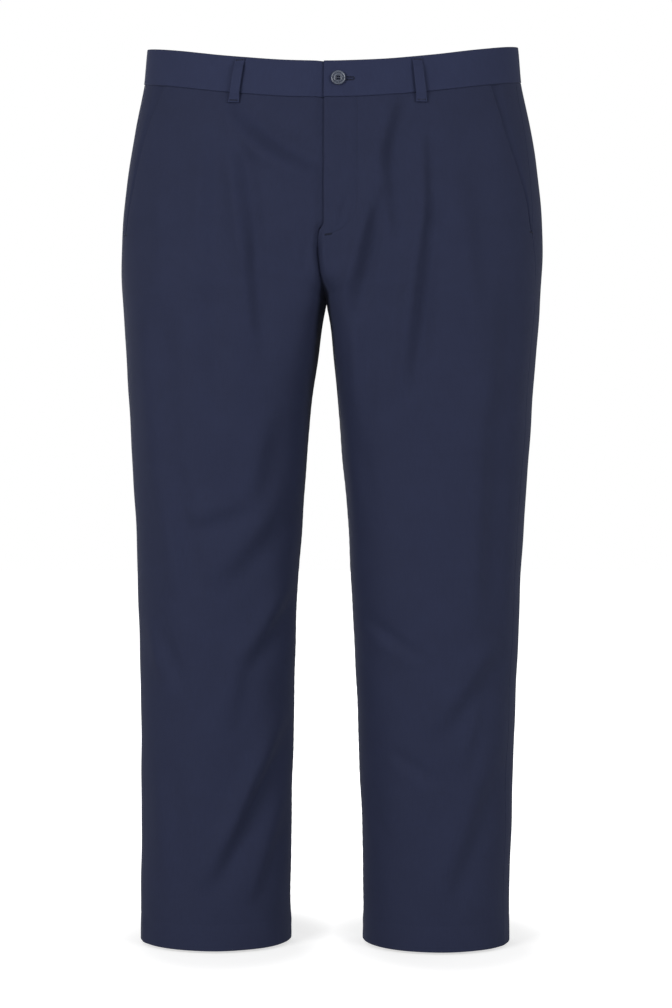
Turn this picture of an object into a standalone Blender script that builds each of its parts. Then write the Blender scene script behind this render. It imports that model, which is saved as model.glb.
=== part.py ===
"""A pair of dress trousers, filled out as if worn and hollow, open at the waist and at both hems.

Metres, +Z up, front facing -Y, wearer's left at +X. The origin is the middle of the waist, half way
up the waistband at the side seams. Heights in the tables are measured up from the hems.
"""

import math
from collections import namedtuple

import bmesh
import bpy
from mathutils import Vector

# Heights above the hems
WAIST_HEIGHT = 1.0152
CROTCH = 0.738
HEM_TURN_UP = 0.030
FLY_END = 0.802
BAND_TOP_SIDE = 1.0360
BAND_WIDTH = 0.0415
FRONT_DIP = 0.0370
DIP_TILT = 0.58
BACK_RISE = 0.0080

# Cloth and seams
CLOTH = 0.0012
BAND_CLOTH = 0.0024
BAND_PROUD = 0.0006
HALF_SEAM = 0.00015
HEM_EXTRA = 0.0009
UNDERLAP_DEPTH = 0.0020
UNDERLAP_WIDTH = 0.0090
UNDERLAP_STRIP = 0.0050
FACING_DEPTH = 0.0021

# The fork: how far up the two halves of the body stay apart along the centre seams
FRONT_FORK = 0.088
BACK_FORK = 0.150

# Fly, button and belt loops
FLY_EDGE = -0.0060
FLY_SINK_RUN = 0.0100
BAND_EXTENSION = 0.0330
BUTTON_X = 0.0100
BUTTON_RADIUS = 0.0088
BUTTON_THICKNESS = 0.0030
BUTTON_RIM = 0.0020
BUTTON_HOLE_RADIUS = 0.0009
BUTTON_HOLE_SPACING = 0.0016
LOOP_WIDTH = 0.0114
LOOP_CLOTH = 0.0015
LOOP_LENGTH = 0.0505
LOOP_DROP = 0.0026
LOOP_CLEAR = 0.0024
LOOP_FOOT = 0.0070

# Mesh density
FRONT_COLUMNS = 12
BACK_COLUMNS = 13
BAND_COLUMNS = 24
BAND_ROWS = 2
LEG_ROWS = 20
TURN_STEP = 1e-3
HEIGHT_STEP = 5e-4

Section = namedtuple("Section", "height centre right_out left_out front back square inner right_seam left_seam")
SECTIONS = (
    Section(0.000, -0.0055, 0.2229, 0.2064, 0.0720, 0.0660, 0.04, 1.0, 0.030, 0.034),
    Section(0.067, -0.0058, 0.2226, 0.2066, 0.0730, 0.0670, 0.04, 1.0, 0.030, 0.034),
    Section(0.207, -0.0065, 0.2220, 0.2112, 0.0770, 0.0710, 0.04, 1.0, 0.030, 0.036),
    Section(0.347, -0.0081, 0.2243, 0.2163, 0.0820, 0.0770, 0.04, 1.1, 0.030, 0.037),
    Section(0.487, -0.0081, 0.2289, 0.2236, 0.0880, 0.0830, 0.04, 1.2, 0.030, 0.038),
    Section(0.603, -0.0080, 0.2351, 0.2317, 0.0960, 0.0950, 0.04, 1.5, 0.030, 0.040),
    Section(0.685, -0.0068, 0.2404, 0.2377, 0.1010, 0.1070, 0.05, 2.6, 0.030, 0.041),
    Section(0.738, -0.0063, 0.2433, 0.2421, 0.1050, 0.1160, 0.06, 3.6, 0.030, 0.042),
    Section(0.790, -0.0050, 0.2448, 0.2448, 0.1110, 0.1260, 0.08, 3.4, 0.030, 0.043),
    Section(0.837, -0.0010, 0.2435, 0.2437, 0.1155, 0.1305, 0.10, 2.0, 0.030, 0.042),
    Section(0.883, 0.0000, 0.2384, 0.2397, 0.1150, 0.1270, 0.11, 1.2, 0.029, 0.041),
    Section(0.936, 0.0000, 0.2301, 0.2316, 0.1090, 0.1170, 0.12, 1.0, 0.026, 0.038),
    Section(0.976, 0.0000, 0.2215, 0.2228, 0.1040, 0.1080, 0.12, 1.0, 0.021, 0.034),
    Section(1.000, 0.0000, 0.2175, 0.2186, 0.1010, 0.1030, 0.12, 1.0, 0.018, 0.029),
    Section(1.046, 0.0000, 0.2138, 0.2148, 0.0980, 0.0980, 0.12, 1.0, 0.016, 0.024),
)

# How far the front's centre seam leans to the right leg's side, where the legs part
Lean = namedtuple("Lean", "height shift")
FORK_LEAN = (
    Lean(0.738, 0.0),
    Lean(0.746, -0.0007),
    Lean(0.764, -0.0045),
    Lean(0.790, -0.0078),
    Lean(0.806, -0.0078),
    Lean(0.820, -0.0050),
    Lean(0.860, 0.0),
)

Gap = namedtuple("Gap", "height half")
LEG_GAPS = (
    Gap(0.000, 0.0424),
    Gap(0.067, 0.0424),
    Gap(0.207, 0.0386),
    Gap(0.347, 0.0342),
    Gap(0.487, 0.0263),
    Gap(0.603, 0.0170),
    Gap(0.685, 0.0082),
    Gap(0.713, 0.0045),
    Gap(0.738, 0.0000),
)

# How far ahead of the side line each pocket mouth lies; the cloth sits turned a little on its form
Mouth = namedtuple("Mouth", "height left right")
POCKET_MOUTH = (
    Mouth(0.811, 0.0425, 0.0300),
    Mouth(0.822, 0.0458, 0.0345),
    Mouth(0.848, 0.0510, 0.0405),
    Mouth(0.875, 0.0574, 0.0450),
    Mouth(0.902, 0.0627, 0.0485),
    Mouth(0.924, 0.0655, 0.0510),
    Mouth(0.946, 0.0667, 0.0542),
    Mouth(0.968, 0.0670, 0.0578),
    Mouth(1.000, 0.0675, 0.0605),
)

# Each fold is a soft trough from one place to another, seen from the front or the back
Fold = namedtuple("Fold", "x0 height0 x1 height1 bow width depth")
FRONT_FOLDS = (
    Fold(-0.096, 0.945, -0.028, 0.880, -0.013, 0.013, 0.0040),
    Fold(-0.101, 0.890, -0.072, 0.700, 0.004, 0.016, 0.0030),
    Fold(-0.030, 0.690, -0.044, 0.550, 0.004, 0.017, 0.0030),
    Fold(-0.130, 0.530, -0.095, 0.400, -0.004, 0.020, 0.0022),
    Fold(-0.062, 0.395, -0.086, 0.300, 0.004, 0.015, 0.0030),
    Fold(-0.060, 0.245, -0.135, 0.075, -0.008, 0.016, 0.0048),
    Fold(-0.190, 0.500, -0.186, 0.290, 0.004, 0.015, 0.0022),
    Fold(0.080, 0.945, 0.034, 0.740, 0.008, 0.012, 0.0050),
    Fold(0.103, 0.910, 0.088, 0.640, -0.005, 0.016, 0.0030),
    Fold(0.177, 0.750, 0.184, 0.360, 0.005, 0.016, 0.0026),
    Fold(0.030, 0.380, 0.104, 0.342, 0.005, 0.013, 0.0030),
    Fold(0.158, 0.325, 0.110, 0.230, 0.006, 0.014, 0.0030),
    Fold(0.058, 0.238, 0.142, 0.168, -0.006, 0.015, 0.0030),
    Fold(0.185, 0.205, 0.128, 0.036, -0.006, 0.016, 0.0040),
)
BACK_FOLDS = (
    Fold(-0.035, 0.790, -0.150, 0.700, -0.010, 0.017, 0.0045),
    Fold(-0.175, 0.690, -0.070, 0.610, -0.008, 0.018, 0.0035),
    Fold(-0.070, 0.480, -0.165, 0.430, 0.006, 0.015, 0.0040),
    Fold(-0.165, 0.400, -0.085, 0.330, -0.006, 0.016, 0.0034),
    Fold(-0.090, 0.230, -0.150, 0.090, 0.006, 0.017, 0.0036),
    Fold(0.035, 0.780, 0.155, 0.705, 0.010, 0.017, 0.0042),
    Fold(0.170, 0.670, 0.065, 0.600, 0.008, 0.018, 0.0034),
    Fold(0.060, 0.470, 0.155, 0.440, 0.006, 0.015, 0.0038),
    Fold(0.150, 0.385, 0.070, 0.300, 0.006, 0.016, 0.0036),
    Fold(0.080, 0.200, 0.140, 0.060, -0.006, 0.017, 0.0034),
)

# Angles round a half, from the side (0) over the front (a quarter turn) to the inseam (a half turn)
LEFT_LOOP_TURN = math.radians(63.3)
RIGHT_LOOP_TURN = math.radians(62.1)
SIDE_LOOP_TURN = math.radians(-42.0)
HALF_TURN = math.pi
WHOLE_TURN = 2 * math.pi

NAVY = (0.0255, 0.0307, 0.0593, 1.0)
NAVY_FACING = (0.0230, 0.0277, 0.0545, 1.0)
BUTTON_GREY = (0.0420, 0.0440, 0.0520, 1.0)


def clear_scene():
    for obj in list(bpy.data.objects):
        bpy.data.objects.remove(obj, do_unlink=True)


def make_collection(name):
    collection = bpy.data.collections.new(name)
    bpy.context.scene.collection.children.link(collection)
    return collection


def make_material(name, colour, roughness):
    material = bpy.data.materials.new(name)
    material.use_nodes = True
    material.diffuse_color = colour
    shader = material.node_tree.nodes["Principled BSDF"]
    shader.inputs["Base Color"].default_value = colour
    shader.inputs["Roughness"].default_value = roughness
    return material


def ease(share):
    """Goes smoothly from 0 to 1 as share does."""
    share = min(1.0, max(0.0, share))
    return share * share * (3 - 2 * share)


def slope_at(rows, column, index):
    before = rows[max(index - 1, 0)]
    after = rows[min(index + 1, len(rows) - 1)]
    return (getattr(after, column) - getattr(before, column)) / (after.height - before.height)


def read(rows, column, height):
    """The column's value at a height, on a smooth curve through the rows."""
    height = min(max(height, rows[0].height), rows[-1].height)
    index = 0
    while index < len(rows) - 2 and rows[index + 1].height < height:
        index += 1
    low, high = rows[index], rows[index + 1]
    span = high.height - low.height
    share = (height - low.height) / span
    start = getattr(low, column)
    end = getattr(high, column)
    slope_in = slope_at(rows, column, index) * span
    slope_out = slope_at(rows, column, index + 1) * span
    rise = end - start
    curve = share * (1 - share)
    return (
        start
        + rise * ease(share)
        + curve * (slope_in * (1 - share) - slope_out * share)
    )


def centre_line(height, at_front):
    """Where the centre seam runs, with the fork's lean on the front."""
    return read(SECTIONS, "centre", height) + (read(FORK_LEAN, "shift", height) if at_front else 0.0)


def half_section(side, height, at_front):
    """Where a half's round section has its middle and its half width, from the centre line outwards."""
    centre = centre_line(height, at_front)
    if side > 0:
        outer = read(SECTIONS, "left_out", height) - centre
    else:
        outer = read(SECTIONS, "right_out", height) + centre
    if height <= CROTCH:
        gap = read(LEG_GAPS, "half", height)
        return (outer + gap) / 2, (outer - gap) / 2
    fork = FRONT_FORK if at_front else BACK_FORK
    apart = 1 - ease((height - CROTCH) / fork)
    half_width = outer / (1 + apart)
    return apart * half_width, half_width


def fold_depth(folds, x, height):
    """How far in the cloth lies at a place, from all the folds that pass near it."""
    depth = 0.0
    for fold in folds:
        run_x = fold.x1 - fold.x0
        run_z = fold.height1 - fold.height0
        length = math.hypot(run_x, run_z)
        from_x = x - fold.x0
        from_z = height - fold.height0
        share = (from_x * run_x + from_z * run_z) / length**2
        if not 0 < share < 1:
            continue
        taper = 4 * share * (1 - share)
        across = (from_x * run_z - from_z * run_x) / length - fold.bow * taper
        ratio = (across / fold.width) ** 2
        depth += fold.depth * taper * (1 - ratio) * math.exp(-ratio)
    return depth


def body_point(side, turn, height):
    """A point on the outside of the cloth, folds and all."""
    at_front = math.sin(turn) >= 0
    middle, half_width = half_section(side, height, at_front)
    reach = read(SECTIONS, "front" if at_front else "back", height)
    cosine = math.cos(turn)
    sine = math.sin(turn)
    square = read(SECTIONS, "square", height)
    inner = read(SECTIONS, "inner", height) if at_front and cosine < 0 else 1.0
    shoulder = inner * sine / math.sqrt(1 + (inner**2 - 1) * sine**2)
    x = centre_line(height, at_front) + side * (middle + half_width * cosine)
    y = -reach * shoulder * (1 + square * cosine**2)
    folds = FRONT_FOLDS if at_front else BACK_FOLDS
    inward = fold_depth(folds, x, height) * ease(abs(sine) / 0.5)
    return Vector((x - side * cosine * inward, y + sine * inward, height - WAIST_HEIGHT))


def outward(side, turn, height):
    """The direction that points straight out of the cloth."""
    along = body_point(side, turn + TURN_STEP, height) - body_point(side, turn - TURN_STEP, height)
    up = body_point(side, turn, height + HEIGHT_STEP) - body_point(side, turn, height - HEIGHT_STEP)
    normal = along.cross(up).normalized()
    facing = Vector((side * math.cos(turn), -math.sin(turn), 0.0))
    return normal if normal.dot(facing) > 0 else -normal


def lifted(side, turn, height, lift):
    return body_point(side, turn, height) + outward(side, turn, height) * lift


def seam_step(side, turn, height):
    """The angle that half a seam's gap takes up."""
    ahead = body_point(side, turn + TURN_STEP, height)
    behind = body_point(side, turn - TURN_STEP, height)
    return HALF_SEAM * 2 * TURN_STEP / (ahead - behind).length


def turn_of_x(side, height, x, at_front=True):
    """The angle at which a half's section passes x, on its front or its back."""
    middle, half_width = half_section(side, height, at_front)
    from_centre = side * (x - centre_line(height, at_front))
    cosine = (from_centre - middle) / half_width
    turn = math.acos(min(1.0, max(-1.0, cosine)))
    return turn if at_front else WHOLE_TURN - turn


def turn_of_ahead(height, ahead):
    """The angle at which the cloth lies a distance ahead of the side line."""
    reach = read(SECTIONS, "front", height) * (1 + read(SECTIONS, "square", height))
    return math.asin(ahead / reach)


def side_seam_turn(side, height):
    return turn_of_ahead(height, read(SECTIONS, "left_seam" if side > 0 else "right_seam", height))


def mouth_turn(side, height):
    if height <= POCKET_MOUTH[0].height:
        return side_seam_turn(side, height)
    column = "left" if side > 0 else "right"
    mouth = turn_of_ahead(height, read(POCKET_MOUTH, column, height))
    return max(mouth, side_seam_turn(side, height))


def band_top(turn):
    """The waistband's top edge, which dips at the front and rises a little at the back."""
    sine = math.sin(turn)
    if sine >= 0:
        return BAND_TOP_SIDE - FRONT_DIP * (DIP_TILT * sine + (1 - DIP_TILT) * sine**3)
    bend = DIP_TILT * FRONT_DIP / BACK_RISE
    return BAND_TOP_SIDE + BACK_RISE * (1 - (1 + sine) ** bend)


def waist_seam(turn):
    return band_top(turn) - BAND_WIDTH


LEVEL_ROWS_END = 0.832


def row_height(row, turn):
    """Rows are level up to the hips, and above that they spread to meet the waist seam."""
    if row <= LEVEL_ROWS_END:
        return row
    top = BAND_TOP_SIDE - BAND_WIDTH
    share = (row - LEVEL_ROWS_END) / (top - LEVEL_ROWS_END)
    return LEVEL_ROWS_END + share * (waist_seam(turn) - HALF_SEAM - LEVEL_ROWS_END)


def panel_rows():
    """The rows of a leg panel from hem to waist seam, closer together where the crotch curves."""
    rows = [0.0, HEM_TURN_UP, HEM_TURN_UP + 0.004]
    bottom = rows[-1]
    top = CROTCH - 0.030
    rows += [bottom + (top - bottom) * step / LEG_ROWS for step in range(1, LEG_ROWS + 1)]
    rows += [CROTCH + step for step in (-0.014, -0.004, 0.0, 0.0012, 0.004, 0.009)]
    curve_steps = 4
    curve_top = 0.796
    for step in range(1, curve_steps + 1):
        rows.append(rows[-1] + (curve_top - rows[-1]) / (curve_steps + 1 - step))
    rows += [0.808, 0.820, LEVEL_ROWS_END]
    top = BAND_TOP_SIDE - BAND_WIDTH
    upper_steps = 6
    for step in range(1, upper_steps + 1):
        rows.append(LEVEL_ROWS_END + (top - LEVEL_ROWS_END) * step / upper_steps)
    return rows


def settled(turn_at, row):
    """The angle of a panel's edge on a row whose height depends on the angle."""
    turn = turn_at(row)
    for _ in range(5):
        turn = turn_at(row_height(row, turn))
    return turn


def wall(name, columns, rows, place, material, collection):
    """A closed wall: a slab of grid squares whose every point is moved to its place on either face."""
    mesh = bmesh.new()
    bmesh.ops.create_grid(mesh, x_segments=columns, y_segments=rows, size=1.0)
    made = bmesh.ops.extrude_face_region(mesh, geom=mesh.faces[:], use_keep_orig=True)
    for item in made["geom"]:
        if isinstance(item, bmesh.types.BMVert):
            item.co.z = 1.0
    bmesh.ops.recalc_face_normals(mesh, faces=mesh.faces)
    for vert in mesh.verts:
        column = round((vert.co.x + 1) / 2 * columns)
        row = round((vert.co.y + 1) / 2 * rows)
        vert.co = place(column, row, vert.co.z > 0.5)
    if mesh.calc_volume(signed=True) < 0:
        bmesh.ops.reverse_faces(mesh, faces=mesh.faces)
    data = bpy.data.meshes.new(name)
    mesh.to_mesh(data)
    mesh.free()
    data.shade_smooth()
    data.set_sharp_from_angle(angle=math.radians(50))
    data.materials.append(material)
    obj = bpy.data.objects.new(name, data)
    collection.objects.link(obj)
    return obj


def hem_thickness(height):
    """The turned-up hem makes the wall thicker on the inside."""
    return CLOTH + HEM_EXTRA * (1 - ease((height - HEM_TURN_UP) / 0.004))


def fly_share(height):
    """1 along the fly, 0 below its end."""
    return ease((height - FLY_END - 0.006) / 0.012)


def left_front_end(row):
    """The left front's inner edge: the fly edge, then the centre seam, then the inseam."""
    if row <= CROTCH:
        return HALF_TURN - seam_step(1, HALF_TURN, row)

    def turn_at(height):
        seam_x = centre_line(height, True) + HALF_SEAM
        return turn_of_x(1, height, seam_x + (FLY_EDGE - seam_x) * fly_share(height))

    return settled(turn_at, row)


def right_front_end(row):
    """The right front's inner edge, which runs on beneath the left front along the fly."""
    if row <= CROTCH:
        return HALF_TURN - seam_step(-1, HALF_TURN, row)

    def turn_at(height):
        seam_x = centre_line(height, True) - HALF_SEAM
        lapped = FLY_EDGE + UNDERLAP_WIDTH
        return turn_of_x(-1, height, seam_x + (lapped - seam_x) * fly_share(height - 0.008))

    return settled(turn_at, row)


def underlap_sink(point, height):
    """How deep the right front lies beside and beneath the fly edge."""
    share = ease((point.x - FLY_EDGE + FLY_SINK_RUN) / (FLY_SINK_RUN - 0.001))
    return UNDERLAP_DEPTH * share * ease((height - FLY_END + 0.006) / 0.010)


def front_panel(name, side, end_turn, lap, material, collection):
    rows = panel_rows()
    strip_columns = 2 if lap else 0
    even = FRONT_COLUMNS - strip_columns

    def turn_of_column(column, row, start, end):
        if not lap:
            return start + (end - start) * column / even
        height = row_height(row, end)
        rate = HALF_SEAM / seam_step(side, end, height)
        lapped = UNDERLAP_STRIP + (UNDERLAP_WIDTH + 0.001 - UNDERLAP_STRIP) * fly_share(height - 0.008)
        strip = (lapped + FLY_SINK_RUN, lapped, 0.0)
        if column >= even:
            return end - strip[column - even] / rate
        return start + (end - strip[0] / rate - start) * column / even

    def place(column, index, inside):
        row = rows[index]
        start = settled(lambda height: mouth_turn(side, height), row)
        start += seam_step(side, start, row_height(row, start))
        turn = turn_of_column(column, row, start, end_turn(row))
        height = row_height(row, turn)
        lift = -underlap_sink(body_point(side, turn, height), height) if lap else 0.0
        return lifted(side, turn, height, lift - (hem_thickness(height) if inside else 0.0))

    return wall(name, FRONT_COLUMNS, len(rows) - 1, place, material, collection)


def back_panel(name, side, material, collection):
    rows = panel_rows()

    def inner_edge(row):
        if row <= CROTCH:
            return HALF_TURN + seam_step(side, HALF_TURN, row)

        def turn_at(height):
            seam_x = centre_line(height, False) + side * HALF_SEAM
            return turn_of_x(side, height, seam_x, at_front=False)

        return settled(turn_at, row)

    def place(column, index, inside):
        row = rows[index]
        start = inner_edge(row)
        end = WHOLE_TURN + settled(lambda height: side_seam_turn(side, height), row)
        end -= seam_step(side, end, row_height(row, end))
        turn = start + (end - start) * column / BACK_COLUMNS
        height = row_height(row, turn)
        return lifted(side, turn, height, -hem_thickness(height) if inside else 0.0)

    return wall(name, BACK_COLUMNS, len(rows) - 1, place, material, collection)


def pocket_facing(name, side, material, collection):
    """The strip that shows between the slanted pocket mouth and the side seam, and runs in behind."""
    rows = [row for row in panel_rows() if row > POCKET_MOUTH[0].height + 0.001]
    shown_columns = 4

    def place(column, index, inside):
        row = rows[index]
        start = settled(lambda height: side_seam_turn(side, height), row)
        start += seam_step(side, start, row_height(row, start))
        mouth = settled(lambda height: mouth_turn(side, height), row)
        rate = HALF_SEAM / seam_step(side, mouth, row_height(row, mouth))
        shown = mouth - 0.0012 / rate
        if column > shown_columns:
            turn = mouth + UNDERLAP_WIDTH / rate
            lift = -FACING_DEPTH
        else:
            share = column / shown_columns
            turn = start + (shown - start) * share
            lift = -FACING_DEPTH * ease(share)
        height = row_height(row, turn)
        return lifted(side, turn, height, lift - (CLOTH if inside else 0.0))

    return wall(name, shown_columns + 1, len(rows) - 1, place, material, collection)


def waistband(name, side, material, collection):
    """Half of the waistband, from the centre back seam to its end at the fly."""
    lap_turns = []
    if side < 0:
        steps = (-0.0005, 0.012, 0.022, BAND_EXTENSION)
        lap_turns = [turn_of_x(side, WAIST_HEIGHT, FLY_EDGE + step) for step in steps]
    even = BAND_COLUMNS
    middle_height = BAND_TOP_SIDE - BAND_WIDTH / 2
    start = turn_of_x(side, middle_height, side * HALF_SEAM, at_front=False) - WHOLE_TURN
    end_x = FLY_EDGE if side > 0 else FLY_EDGE - FLY_SINK_RUN
    end = turn_of_x(side, middle_height, end_x)

    def place(column, row, inside):
        if column > even:
            turn = lap_turns[column - even - 1]
            lift = -BAND_CLOTH - 0.0005 + BAND_PROUD
        else:
            turn = start + (end - start) * column / even
            lift = BAND_PROUD
        bottom = waist_seam(turn) + HALF_SEAM
        height = bottom + (band_top(turn) - bottom) * row / BAND_ROWS
        return lifted(side, turn, height, lift - (BAND_CLOTH if inside else 0.0))

    return wall(name, even + len(lap_turns), BAND_ROWS, place, material, collection)


def belt_loop(name, side, turn, material, collection):
    """A folded strip that stands off the band, its feet on the band's top and below the waist seam."""
    top = band_top(turn) - LOOP_DROP
    stations = (0.0, LOOP_FOOT * 0.6, LOOP_FOOT, LOOP_LENGTH / 2, LOOP_LENGTH - LOOP_FOOT, LOOP_LENGTH)
    clearances = (0.0003, 0.0003, LOOP_CLEAR * 0.8, LOOP_CLEAR, LOOP_CLEAR * 0.8, 0.0003)
    columns = 2

    def place(column, row, inside):
        height = top - stations[row]
        rate = HALF_SEAM / seam_step(side, turn, height)
        across = (column / columns - 0.5) * LOOP_WIDTH / rate
        clearance = BAND_PROUD + clearances[row]
        lift = clearance + (0.0 if inside else LOOP_CLOTH)
        return lifted(side, turn + across, height, lift)

    return wall(name, columns, len(stations) - 1, place, material, collection)


def ring_profile():
    """The button's half section, from its middle at the face round to its middle at the back."""
    r = BUTTON_RADIUS
    t = BUTTON_THICKNESS
    well = 0.0010
    return (
        (0.0, t - well),
        (r - BUTTON_RIM - 0.0020, t - well),
        (r - BUTTON_RIM - 0.0010, t - 0.0004),
        (r - BUTTON_RIM, t - 0.0006),
        (r - BUTTON_RIM * 0.6, t),
        (r - 0.0005, t - 0.0003),
        (r, t - 0.0011),
        (r - 0.0006, 0.0006),
        (r - 0.0022, 0.0),
        (0.0, 0.0),
    )


def button(material, collection, cutters):
    """The waist button, turned about its own axis, with four holes for its thread."""
    mesh = bmesh.new()
    points = [mesh.verts.new((radius, 0.0, z)) for radius, z in ring_profile()]
    edges = [mesh.edges.new(pair) for pair in zip(points, points[1:])]
    bmesh.ops.spin(
        mesh,
        geom=points + edges,
        cent=(0, 0, 0),
        axis=(0, 0, 1),
        angle=WHOLE_TURN,
        steps=28,
        use_merge=True,
    )
    bmesh.ops.remove_doubles(mesh, verts=mesh.verts, dist=1e-6)
    bmesh.ops.recalc_face_normals(mesh, faces=mesh.faces)
    data = bpy.data.meshes.new("button")
    mesh.to_mesh(data)
    mesh.free()
    data.shade_smooth()
    data.set_sharp_from_angle(angle=math.radians(40))
    data.materials.append(material)
    obj = bpy.data.objects.new("button", data)
    collection.objects.link(obj)
    drill_button(obj, cutters)
    height = waist_seam(math.pi / 2) + BAND_WIDTH / 2
    turn = turn_of_x(1, height, BUTTON_X)
    normal = outward(1, turn, height)
    obj.location = lifted(1, turn, height, BAND_PROUD + 0.0004)
    obj.rotation_euler = normal.to_track_quat("Z", "Y").to_euler()
    return obj


def drill_button(obj, cutters):
    mesh = bmesh.new()
    for across in (-1, 1):
        for up in (-1, 1):
            made = bmesh.ops.create_cone(
                mesh,
                cap_ends=True,
                segments=10,
                radius1=BUTTON_HOLE_RADIUS,
                radius2=BUTTON_HOLE_RADIUS,
                depth=BUTTON_THICKNESS * 4,
            )
            shift = Vector((across * BUTTON_HOLE_SPACING, up * BUTTON_HOLE_SPACING, 0.0))
            bmesh.ops.translate(mesh, verts=made["verts"], vec=shift)
    data = bpy.data.meshes.new("button_holes")
    mesh.to_mesh(data)
    mesh.free()
    cutter = bpy.data.objects.new("button_holes", data)
    cutters.objects.link(cutter)
    cutter.parent = obj
    cutter.hide_render = True
    cutter.display_type = "WIRE"
    holes = obj.modifiers.new("holes", "BOOLEAN")
    holes.operation = "DIFFERENCE"
    holes.object = cutter


def build():
    clear_scene()
    parts = make_collection("dress_trousers")
    cutters = make_collection("cutters")
    navy = make_material("navy_twill", NAVY, 0.85)
    facing = make_material("navy_twill_facing", NAVY_FACING, 0.85)
    grey = make_material("button_grey", BUTTON_GREY, 0.35)
    front_panel("front_left", 1, left_front_end, False, navy, parts)
    front_panel("front_right", -1, right_front_end, True, navy, parts)
    back_panel("back_left", 1, navy, parts)
    back_panel("back_right", -1, navy, parts)
    for label, side in (("left", 1), ("right", -1)):
        pocket_facing(f"pocket_facing_{label}", side, facing, parts)
        waistband(f"waistband_{label}", side, navy, parts)
        front_turn = LEFT_LOOP_TURN if side > 0 else RIGHT_LOOP_TURN
        belt_loop(f"belt_loop_front_{label}", side, front_turn, navy, parts)
        belt_loop(f"belt_loop_side_{label}", side, SIDE_LOOP_TURN, navy, parts)
    belt_loop("belt_loop_centre_back", 1, -math.pi / 2, navy, parts)
    button(grey, parts, cutters)


build()
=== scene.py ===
# %% [markdown]
# # Dress trousers in navy cotton twill
# The trousers are filled out as if worn, and hollow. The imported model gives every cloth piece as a
# plain wall. This script sews the fine version on the same form: soft creases, rolled seams, turned
# hems, stitches and the cloth's own weave. It starts by loading that model as a fixed frame.

# %% Load the frame
import math
from collections import namedtuple

import bmesh
import bpy
import numpy as np
from mathutils import Matrix, Vector


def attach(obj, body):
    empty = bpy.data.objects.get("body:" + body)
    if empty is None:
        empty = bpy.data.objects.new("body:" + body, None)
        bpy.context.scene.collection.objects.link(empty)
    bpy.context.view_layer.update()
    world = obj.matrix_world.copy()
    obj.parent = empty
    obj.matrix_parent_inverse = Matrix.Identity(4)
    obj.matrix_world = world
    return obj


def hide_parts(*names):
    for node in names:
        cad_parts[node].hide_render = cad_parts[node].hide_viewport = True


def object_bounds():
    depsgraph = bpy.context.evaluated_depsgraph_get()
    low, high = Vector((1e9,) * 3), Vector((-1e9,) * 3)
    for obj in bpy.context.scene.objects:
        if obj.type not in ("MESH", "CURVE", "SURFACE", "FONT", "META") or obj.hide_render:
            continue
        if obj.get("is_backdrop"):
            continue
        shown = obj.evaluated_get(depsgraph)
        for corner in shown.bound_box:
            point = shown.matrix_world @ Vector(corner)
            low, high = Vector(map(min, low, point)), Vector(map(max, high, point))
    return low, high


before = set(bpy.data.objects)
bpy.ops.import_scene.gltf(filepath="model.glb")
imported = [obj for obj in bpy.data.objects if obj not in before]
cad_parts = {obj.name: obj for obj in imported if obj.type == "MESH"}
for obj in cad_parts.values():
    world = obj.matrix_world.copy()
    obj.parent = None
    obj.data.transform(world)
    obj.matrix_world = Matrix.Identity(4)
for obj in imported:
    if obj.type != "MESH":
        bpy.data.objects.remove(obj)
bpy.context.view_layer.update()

# %% [markdown]
# ## The camera
# The picture is taken level, from about half the garment's height, with a long lens, so the hems and
# the waistband are seen as shallow curves. The garment is turned by 1.5 degrees. A long lens is a
# camera far off with a narrow view: the lens below is the one that gives both curves their depth.

# %% Camera
CAMERA_TURN = math.radians(1.5)
CAMERA_DISTANCE = 2.2
CAMERA_SIDE_STEP = 0.0048
CAMERA_HEIGHT = -0.5097
CAMERA_LENS = 67.39
CAMERA_SENSOR = 36.0


def put_in_scene(name, data):
    """Makes an object of a camera, lamp or mesh, and puts it in the scene."""
    item = bpy.data.objects.new(name, data)
    bpy.context.scene.collection.objects.link(item)
    return item


camera_data = bpy.data.cameras.new("camera")
camera_data.lens = CAMERA_LENS
camera_data.sensor_width = CAMERA_SENSOR
camera = put_in_scene("camera", camera_data)
camera.rotation_euler = (math.pi / 2, 0.0, CAMERA_TURN)
camera.location = (
    CAMERA_DISTANCE * math.sin(CAMERA_TURN) + CAMERA_SIDE_STEP * math.cos(CAMERA_TURN),
    -CAMERA_DISTANCE * math.cos(CAMERA_TURN) + CAMERA_SIDE_STEP * math.sin(CAMERA_TURN),
    CAMERA_HEIGHT,
)
bpy.context.scene.camera = camera
bpy.context.scene.view_settings.view_transform = "Standard"
print("camera at", [round(v, 3) for v in camera.location])

# %% [markdown]
# ## The sizes
# These are the garment's own sizes, in metres, the same ones that its solids are made from. Heights
# are measured up from the hems. The origin is the middle of the waist, half way up the waistband, so
# a height becomes a z by taking the waist's height off it. In the table of sections, `square` fills
# a section out towards its sides, and `inner` flattens the inner half of the front: 1 is round. The
# tables that hold only lengths are written in millimetres, as a tailor notes them.

# %% Sizes
WAIST_HEIGHT = 1.0152
CROTCH = 0.738
HEM_TURN_UP = 0.030
FLY_END = 0.802
BAND_TOP_SIDE = 1.0360
BAND_WIDTH = 0.0415
FRONT_DIP = 0.0370
DIP_TILT = 0.58
BACK_RISE = 0.0080
FRONT_FORK = 0.088
BACK_FORK = 0.150
HALF_TURN = math.pi
WHOLE_TURN = 2 * math.pi
FRONT_MIDDLE = np.array(math.pi / 2)
MILLIMETRES = 1000


def in_metres(kind, rows):
    """Named rows in metres, from rows of millimetres."""
    return tuple(kind(*(round(value / MILLIMETRES, 6) for value in row)) for row in rows)


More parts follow.
